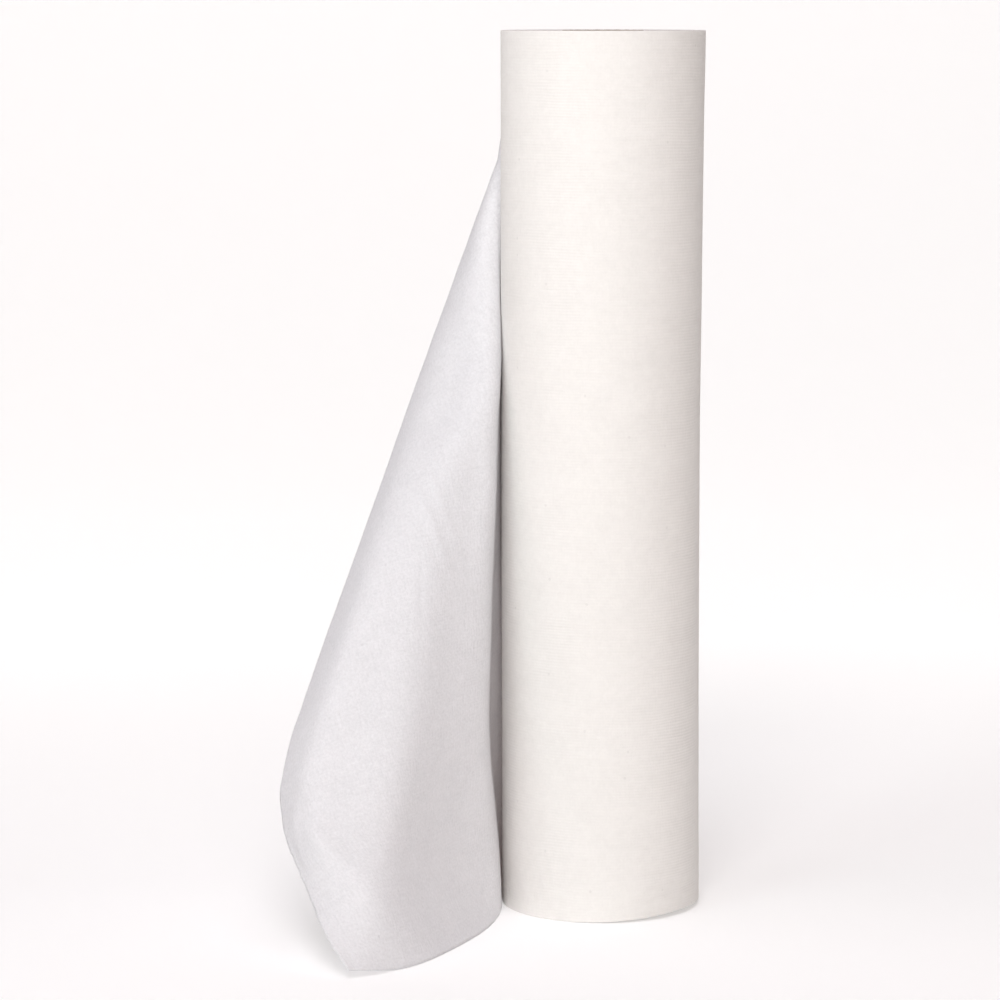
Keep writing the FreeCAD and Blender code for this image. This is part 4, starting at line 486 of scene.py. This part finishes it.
    [(-121.7, -169.7, 2.1), (-123.2, -167.6, 7), (-126.8, -164.3, 16.9), (-133.5, -157.8, 30.6), (-142.2, -149, 42), (-151, -140.5, 53.5), (-163.1, -134, 64.4), (-165.9, -122, 76.7), (-169.2, -111.3, 88.4), (-171.9, -99.4, 100.2), (-171.5, -86.3, 110.1), (-169.5, -73.3, 120), (-168.6, -60.1, 130), (-162.2, -46.9, 138), (-156.4, -34.5, 146.6), (-148.8, -22.4, 154.6), (-141.5, -10.6, 162.9), (-133.6, 1.2, 170.9), (-125.7, 12.7, 179), (-117.6, 24.2, 187), (-109.5, 35.6, 195.1), (-101.3, 47, 203.1), (-93.3, 58.5, 211), (-85.5, 70.3, 218.9), (-78, 82.2, 226.8), (-70.8, 94.4, 234.5), (-63.7, 106.7, 242.2), (-56.7, 119, 249.9), (-49.8, 131.4, 257.6), (-42.9, 143.7, 265.2), (-35.9, 156.1, 272.9), (-28.8, 168.4, 280.6), (-24.1, 176.6, 285.7), (-21.7, 180.7, 288.3)],
    [(-127.2, -173.9, 3.1), (-128.9, -171.5, 7.7), (-133.4, -167.5, 16.7), (-140.2, -158.5, 28.3), (-148.2, -147.9, 38.2), (-155, -137, 48.5), (-165.6, -128.9, 59.3), (-172.2, -120.1, 71.8), (-171.7, -106.6, 83.3), (-174.9, -95.4, 94.5), (-175.1, -82.2, 105.3), (-174.4, -69.1, 115.2), (-167.7, -55.7, 123.3), (-161.7, -43.4, 131.8), (-154.2, -31.3, 140), (-146.8, -19.6, 148.3), (-138.7, -7.9, 156.4), (-130.8, 3.5, 164.5), (-122.6, 15, 172.6), (-114.4, 26.3, 180.7), (-106.1, 37.6, 188.7), (-97.9, 49, 196.8), (-89.9, 60.5, 204.7), (-82.2, 72.3, 212.6), (-74.8, 84.3, 220.4), (-67.7, 96.6, 228.1), (-60.7, 109, 235.8), (-53.9, 121.4, 243.5), (-47.1, 133.8, 251.1), (-40.2, 146.3, 258.8), (-33.3, 158.6, 266.4), (-26.3, 171, 274.1), (-21.6, 179.2, 279.2), (-19.3, 183.3, 281.8)],
    [(-132.7, -177.6, 4.2), (-134.8, -175.1, 8.2), (-140.2, -170, 16.1), (-146.9, -159.2, 25.6), (-153.4, -146.4, 33.8), (-159, -134.4, 43.2), (-168.5, -125.6, 55.3), (-174.1, -114.8, 66.1), (-175.2, -102.9, 78.2), (-177.6, -91, 89.1), (-178.1, -78, 99.8), (-173.5, -64.6, 108.6), (-167, -52.2, 117.1), (-159.5, -40.2, 125.3), (-151.8, -28.5, 133.5), (-143.7, -17, 141.8), (-135.9, -5.6, 150.1), (-127.5, 5.8, 158.1), (-119.4, 17.1, 166.3), (-111, 28.4, 174.3), (-102.7, 39.6, 182.4), (-94.4, 50.9, 190.4), (-86.4, 62.5, 198.4), (-78.8, 74.3, 206.3), (-71.5, 86.4, 214), (-64.5, 98.8, 221.7), (-57.7, 111.2, 229.4), (-51, 123.8, 237), (-44.3, 136.3, 244.6), (-37.5, 148.8, 252.3), (-30.7, 161.2, 259.9), (-23.7, 173.6, 267.6), (-19.1, 181.8, 272.7), (-16.7, 185.9, 275.3)],
    [(-136.9, -179.6, 4.3), (-139.3, -177.1, 8.4), (-144.4, -171.5, 15.3), (-151.9, -159.8, 23.9), (-156, -145.2, 30.5), (-163.2, -132.4, 39.8), (-166.1, -119.6, 49.4), (-175.5, -112.6, 63.6), (-177.4, -100, 74.3), (-179.7, -88.1, 85.8), (-178.2, -75.1, 95.7), (-172.1, -62.2, 104.4), (-166.7, -49.8, 113), (-157.7, -38.3, 121), (-150.2, -26.8, 129.4), (-142, -15.5, 137.7), (-133.5, -4.1, 145.7), (-125.5, 7.2, 154), (-117.2, 18.5, 162), (-108.8, 29.7, 170.2), (-100.4, 40.9, 178.2), (-92.2, 52.2, 186.3), (-84.2, 63.8, 194.2), (-76.6, 75.6, 202.1), (-69.4, 87.8, 209.8), (-62.4, 100.2, 217.5), (-55.7, 112.7, 225.1), (-49.1, 125.3, 232.8), (-42.4, 137.9, 240.4), (-35.7, 150.4, 248), (-28.9, 162.9, 255.7), (-22, 175.3, 263.3), (-17.4, 183.5, 268.4), (-15.1, 187.6, 271)],
    [(-138.6, -180.8, 4.8), (-141, -178.3, 8.7), (-146.9, -172.5, 15), (-153.8, -160, 22.9), (-158.2, -145, 28.9), (-163.4, -131.4, 37.8), (-169.9, -120.5, 49.1), (-176.2, -110.5, 61.2), (-178.4, -98.8, 72.8), (-181, -86.6, 83.9), (-176.9, -73.6, 93.5), (-172.6, -60.9, 102.5), (-165.5, -48.6, 110.7), (-157.1, -37.3, 118.9), (-149, -25.9, 127.2), (-140.8, -14.6, 135.5), (-132.6, -3.3, 143.7), (-124.4, 7.9, 151.8), (-116.1, 19.2, 159.9), (-107.7, 30.4, 168), (-99.3, 41.5, 176.1), (-91, 52.8, 184.2), (-83, 64.4, 192.1), (-75.5, 76.3, 200), (-68.3, 88.5, 207.7), (-61.4, 101, 215.4), (-54.7, 113.5, 223), (-48.1, 126.1, 230.6), (-41.5, 138.7, 238.2), (-34.8, 151.3, 245.8), (-28, 163.7, 253.5), (-21.2, 176.1, 261.1), (-16.5, 184.4, 266.2), (-14.2, 188.5, 268.8)],
]


WEB_L, WEB_W = 289.96, 500.0           # the loose end as modelled, flat


def spline_basis(n, x, k=3):
    t = np.concatenate([np.zeros(k), np.linspace(0, 1, n - k + 1), np.ones(k)])
    x = np.clip(x, 0, 1 - 1e-9)
    b = ((x[:, None] >= t[None, :-1]) & (x[:, None] < t[None, 1:])).astype(float)
    for d in range(1, k + 1):
        nb = np.zeros((len(x), b.shape[1] - 1))
        for i in range(b.shape[1] - 1):
            a1 = t[i + d] - t[i]
            a2 = t[i + d + 1] - t[i + 1]
            if a1 > 0:
                nb[:, i] += (x - t[i]) / a1 * b[:, i]
            if a2 > 0:
                nb[:, i] += (t[i + d + 1] - x) / a2 * b[:, i + 1]
        b = nb
    return b


NS, NT = 170, 280
C = np.array(LOOSE, dtype=float)
uu = np.linspace(0, 1, NS)
vv = np.linspace(0, 1, NT)
P = np.einsum("ia,abk,jb->ijk", spline_basis(C.shape[0], uu), C, spline_basis(C.shape[1], vv))
S, T = np.meshgrid(uu * WEB_L, vv * WEB_W, indexing="ij")


def surf_normals(P):
    du = np.gradient(P, axis=0)
    dv = np.gradient(P, axis=1)
    n = np.cross(du, dv)
    return n / np.maximum(np.linalg.norm(n, axis=2, keepdims=True), 1e-9)


N = surf_normals(P)
gap = np.hypot(P[..., 0], P[..., 1]) - 57.0
free = np.clip((gap - 0.8) / 6.0, 0, 1)
free = free * free * (3 - 2 * free)
TWO = 2 * math.pi
# slack ripples and small buckles of a light web
rip = 0.30 * waves(S / WEB_L * TWO, T / WEB_W, (1, 4), (1.0, 4.0), 18, 11)
rip += 0.14 * waves(S / WEB_L * TWO, T / WEB_W, (4, 12), (5.0, 16.0), 40, 12, 0.3)
# narrow buckles where the bend meets the flat part
bk = np.exp(-(((S - 156.0) / 13.0) ** 2 + ((T - 240.0) / 34.0) ** 2))
rip += 0.40 * bk * np.sin((S * 0.62 - T * 0.13))
bk2 = np.exp(-(((S - 172.0 + 0.2 * (T - 194.0)) / 1.9) ** 2) - ((T - 194.0) / 18.0) ** 2)
rip += 0.70 * bk2
# crumpled foot along the floor
foot = np.exp(-T / 9.0)
rip += 0.30 * foot * waves(S / WEB_L * TWO, T / WEB_W, (16, 46), (2.0, 12.0), 30, 13, 0.0)
P = P + N * (rip * free)[..., None]
# torn along its perforation: a slightly uneven leading edge
last = uu * WEB_L > WEB_L - 8
jag = 0.35 * np.random.default_rng(5).normal(0, 1, NT)
jag = np.convolve(jag, [0.25, 0.5, 0.25], "same")
d_end = np.gradient(P, axis=0)
d_end = d_end / np.maximum(np.linalg.norm(d_end, axis=2, keepdims=True), 1e-9)
P = P + d_end * (np.clip(1 - (WEB_L - S) / 3.0, 0, 1) * jag[None, :])[..., None]
# where the web still lies on the roll it follows the roll's own skin
cx = roll_cx(np.clip(P[..., 2], 0, 500))
rx, ry = P[..., 0] - cx, P[..., 1]
r = np.hypot(rx, ry)
rs = roll_r(np.clip(P[..., 2], 0, 500))
g = r - 57.0
near = (S < 150) & (P[..., 2] < 503)
soft = 0.16 + np.log1p(np.exp(np.clip((g - 0.45) / 0.3, -40, 40))) * 0.3
sink = np.clip(S / 7.0, 0, 1)
target = rs + soft * sink - 0.6 * (1 - sink)
w = np.clip(1 - (g - 1.5) / 5.0, 0, 1) * near
k = 1 + w * (target / np.maximum(r, 1e-6) - 1)
P[..., 0] = cx + rx * k
P[..., 1] = ry * k
P[..., 2] = np.maximum(P[..., 2], 0.12)
inside = near & (g < 3.0)
P[..., 2] = np.where(inside, np.minimum(P[..., 2], 499.8), P[..., 2])

# one ply with a front and a back, closed along its rim
PLY = 0.22
N = surf_normals(P)
front = P + N * PLY / 2
back = P - N * PLY / 2
fv = np.concatenate([front.reshape(-1, 3), back.reshape(-1, 3)]) * MM
qf = grid_quads(NS, NT)
qb = grid_quads(NS, NT, flip=True, base=NS * NT)
sheet_uv = np.stack([S, T], -1).reshape(-1, 2) * MM
ring = np.concatenate([np.arange(NT - 1), np.arange(NT - 1, NS * NT - 1, NT), NS * NT - 1 - np.arange(NT - 1), (NS - 1) * NT - np.arange(0, NS - 1) * NT])
ring2 = np.roll(ring, -1)
qr = np.stack([ring, ring2, ring2 + NS * NT, ring + NS * NT], -1)
quads = np.concatenate([qf, qb, qr])
alluv = np.concatenate([sheet_uv, sheet_uv])[quads.ravel()]
loose = mesh_object("loose_end", fv, quads, alluv)
loose.data.materials.append(paper_tail_mat)

# ---------------------------------------------------------------- frame
for ob in (skin, top_face, low_face, loose):
    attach(ob, "root")
    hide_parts("paper_web")
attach(tube, "root")
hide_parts("core_tube")

# ---------------------------------------------------------------- floor, light, camera
def glowing_stage_material():
    mat = bpy.data.materials.new("glowing_studio_white")
    mat.use_nodes = True
    nt = mat.node_tree
    nt.nodes.clear()
    out = node(nt, "ShaderNodeOutputMaterial", 900, 0)
    bsdf = node(nt, "ShaderNodeBsdfPrincipled", 300, 0)
    bsdf.inputs["Base Color"].default_value = (0.90, 0.90, 0.90, 1)
    bsdf.inputs["Roughness"].default_value = 0.9
    bsdf.inputs["Specular IOR Level"].default_value = 0.1
    # painted light: the floor and backdrop glow, weakest at the front and stronger toward the back, and the glow also
    # lights the roll
    em = node(nt, "ShaderNodeEmission", 300, -300)
    em.inputs["Color"].default_value = (1, 1, 1, 1)
    geo = node(nt, "ShaderNodeNewGeometry", -900, -200)
    sep = node(nt, "ShaderNodeSeparateXYZ", -700, -200)
    link(nt, geo.outputs["Position"], sep.inputs[0])
    d = math_node(nt, "DIVIDE", math_node(nt, "SUBTRACT", sep.outputs[1], EM0), EM1, clamp=True)
    d = math_node(nt, "MULTIPLY_ADD", d, EMS, EMB)
    link(nt, d, em.inputs["Strength"])
    add = node(nt, "ShaderNodeAddShader", 600, 0)
    link(nt, bsdf.outputs[0], add.inputs[0])
    link(nt, em.outputs[0], add.inputs[1])
    link(nt, add.outputs[0], out.inputs["Surface"])
    return mat


# strength of the painted glow: EMB at the front, rising by EMS over EM1 metres behind Y = EM0
EM0, EM1, EMS, EMB = 0.05, 0.85, 0.242, 0.228
prof = [(y, 0.0) for y in np.linspace(-3.2, 1.6, 9)]
prof += [(1.6 + 1.0 * math.sin(a), 1.0 - 1.0 * math.cos(a)) for a in np.linspace(0.12, math.pi / 2, 12)]
prof += [(2.6, z) for z in (1.6, 2.4, 3.4)]
xs = np.linspace(-3.5, 3.5, 3)
PY = np.array([p[0] for p in prof])
PZ = np.array([p[1] for p in prof])
XX, YY = np.meshgrid(xs, PY, indexing="ij")
_, ZZ = np.meshgrid(xs, PZ, indexing="ij")
floor = mesh_object("studio_floor", np.stack([XX, YY, ZZ - 0.0001], -1).reshape(-1, 3), grid_quads(3, len(prof)))
floor.data.materials.append(glowing_stage_material())


def area(name, loc, target, size, power, color=(1, 1, 1), size_y=None):
    la = bpy.data.lights.new(name, "AREA")
    la.shape = "RECTANGLE" if size_y else "SQUARE"
    la.size = size
    if size_y:
        la.size_y = size_y
    la.energy = power
    la.color = color
    ob = bpy.data.objects.new(name, la)
    bpy.context.scene.collection.objects.link(ob)
    ob.location = loc
    ob.rotation_euler = (Vector(target) - Vector(loc)).to_track_quat("-Z", "Y").to_euler()
    return ob


def around(azimuth, elevation, dist):
    a, e = math.radians(azimuth), math.radians(elevation)
    return (MID[0] + dist * math.sin(a) * math.cos(e), MID[1] - dist * math.cos(a) * math.cos(e), MID[2] + dist * math.sin(e))


MID = (-0.04, 0.0, 0.25)
area("key_low", around(0, 12, 2.6), MID, 1.0, 11.2, (1.0, 0.90, 0.84))
area("key_high", around(-3, 40, 2.6), MID, 1.0, 24.0, (0.985, 0.975, 0.98))
area("left_soft", around(-45, 20, 2.6), MID, 1.0, 8.8, (0.84, 1.0, 1.0))
area("left_fill", around(-75, 15, 2.4), MID, 1.0, 4.2, (1.0, 0.84, 0.90))
area("overhead", around(0, 80, 2.3), MID, 1.8, 18.2, (0.95, 0.92, 1.0))

world = bpy.data.worlds.new("studio")
bpy.context.scene.world = world
world.use_nodes = True
bg = world.node_tree.nodes["Background"]
bg.inputs[0].default_value = (1.0, 0.70, 0.56, 1)
bg.inputs[1].default_value = 0.11
# past the edge of the floor the studio looks pale, though it lights only softly
wt = world.node_tree
pale = node(wt, "ShaderNodeBackground", -200, -250)
pale.inputs[0].default_value = (0.86, 0.855, 0.85, 1)
pale.inputs[1].default_value = 1.0
path = node(wt, "ShaderNodeLightPath", -400, 250)
wmix = node(wt, "ShaderNodeMixShader", 100, 0)
wt.links.new(path.outputs["Is Camera Ray"], wmix.inputs[0])
wt.links.new(bg.outputs[0], wmix.inputs[1])
wt.links.new(pale.outputs[0], wmix.inputs[2])
wt.links.new(wmix.outputs[0], wt.nodes["World Output"].inputs[0])

cam = bpy.data.cameras.new("camera")
cam.sensor_width = 36.0
cam.lens = 136.8
cam.clip_end = 50.0
cam_ob = bpy.data.objects.new("camera", cam)
bpy.context.scene.collection.objects.link(cam_ob)
cam_ob.location = (-0.05792, -2.1521, 0.5178)
cam_ob.rotation_euler = (math.radians(90 - 7.523), 0, 0)
bpy.context.scene.camera = cam_ob

bpy.context.scene.view_settings.view_transform = "Standard"
bpy.context.scene.view_settings.look = "None"
bpy.context.scene.view_settings.exposure = 0.0
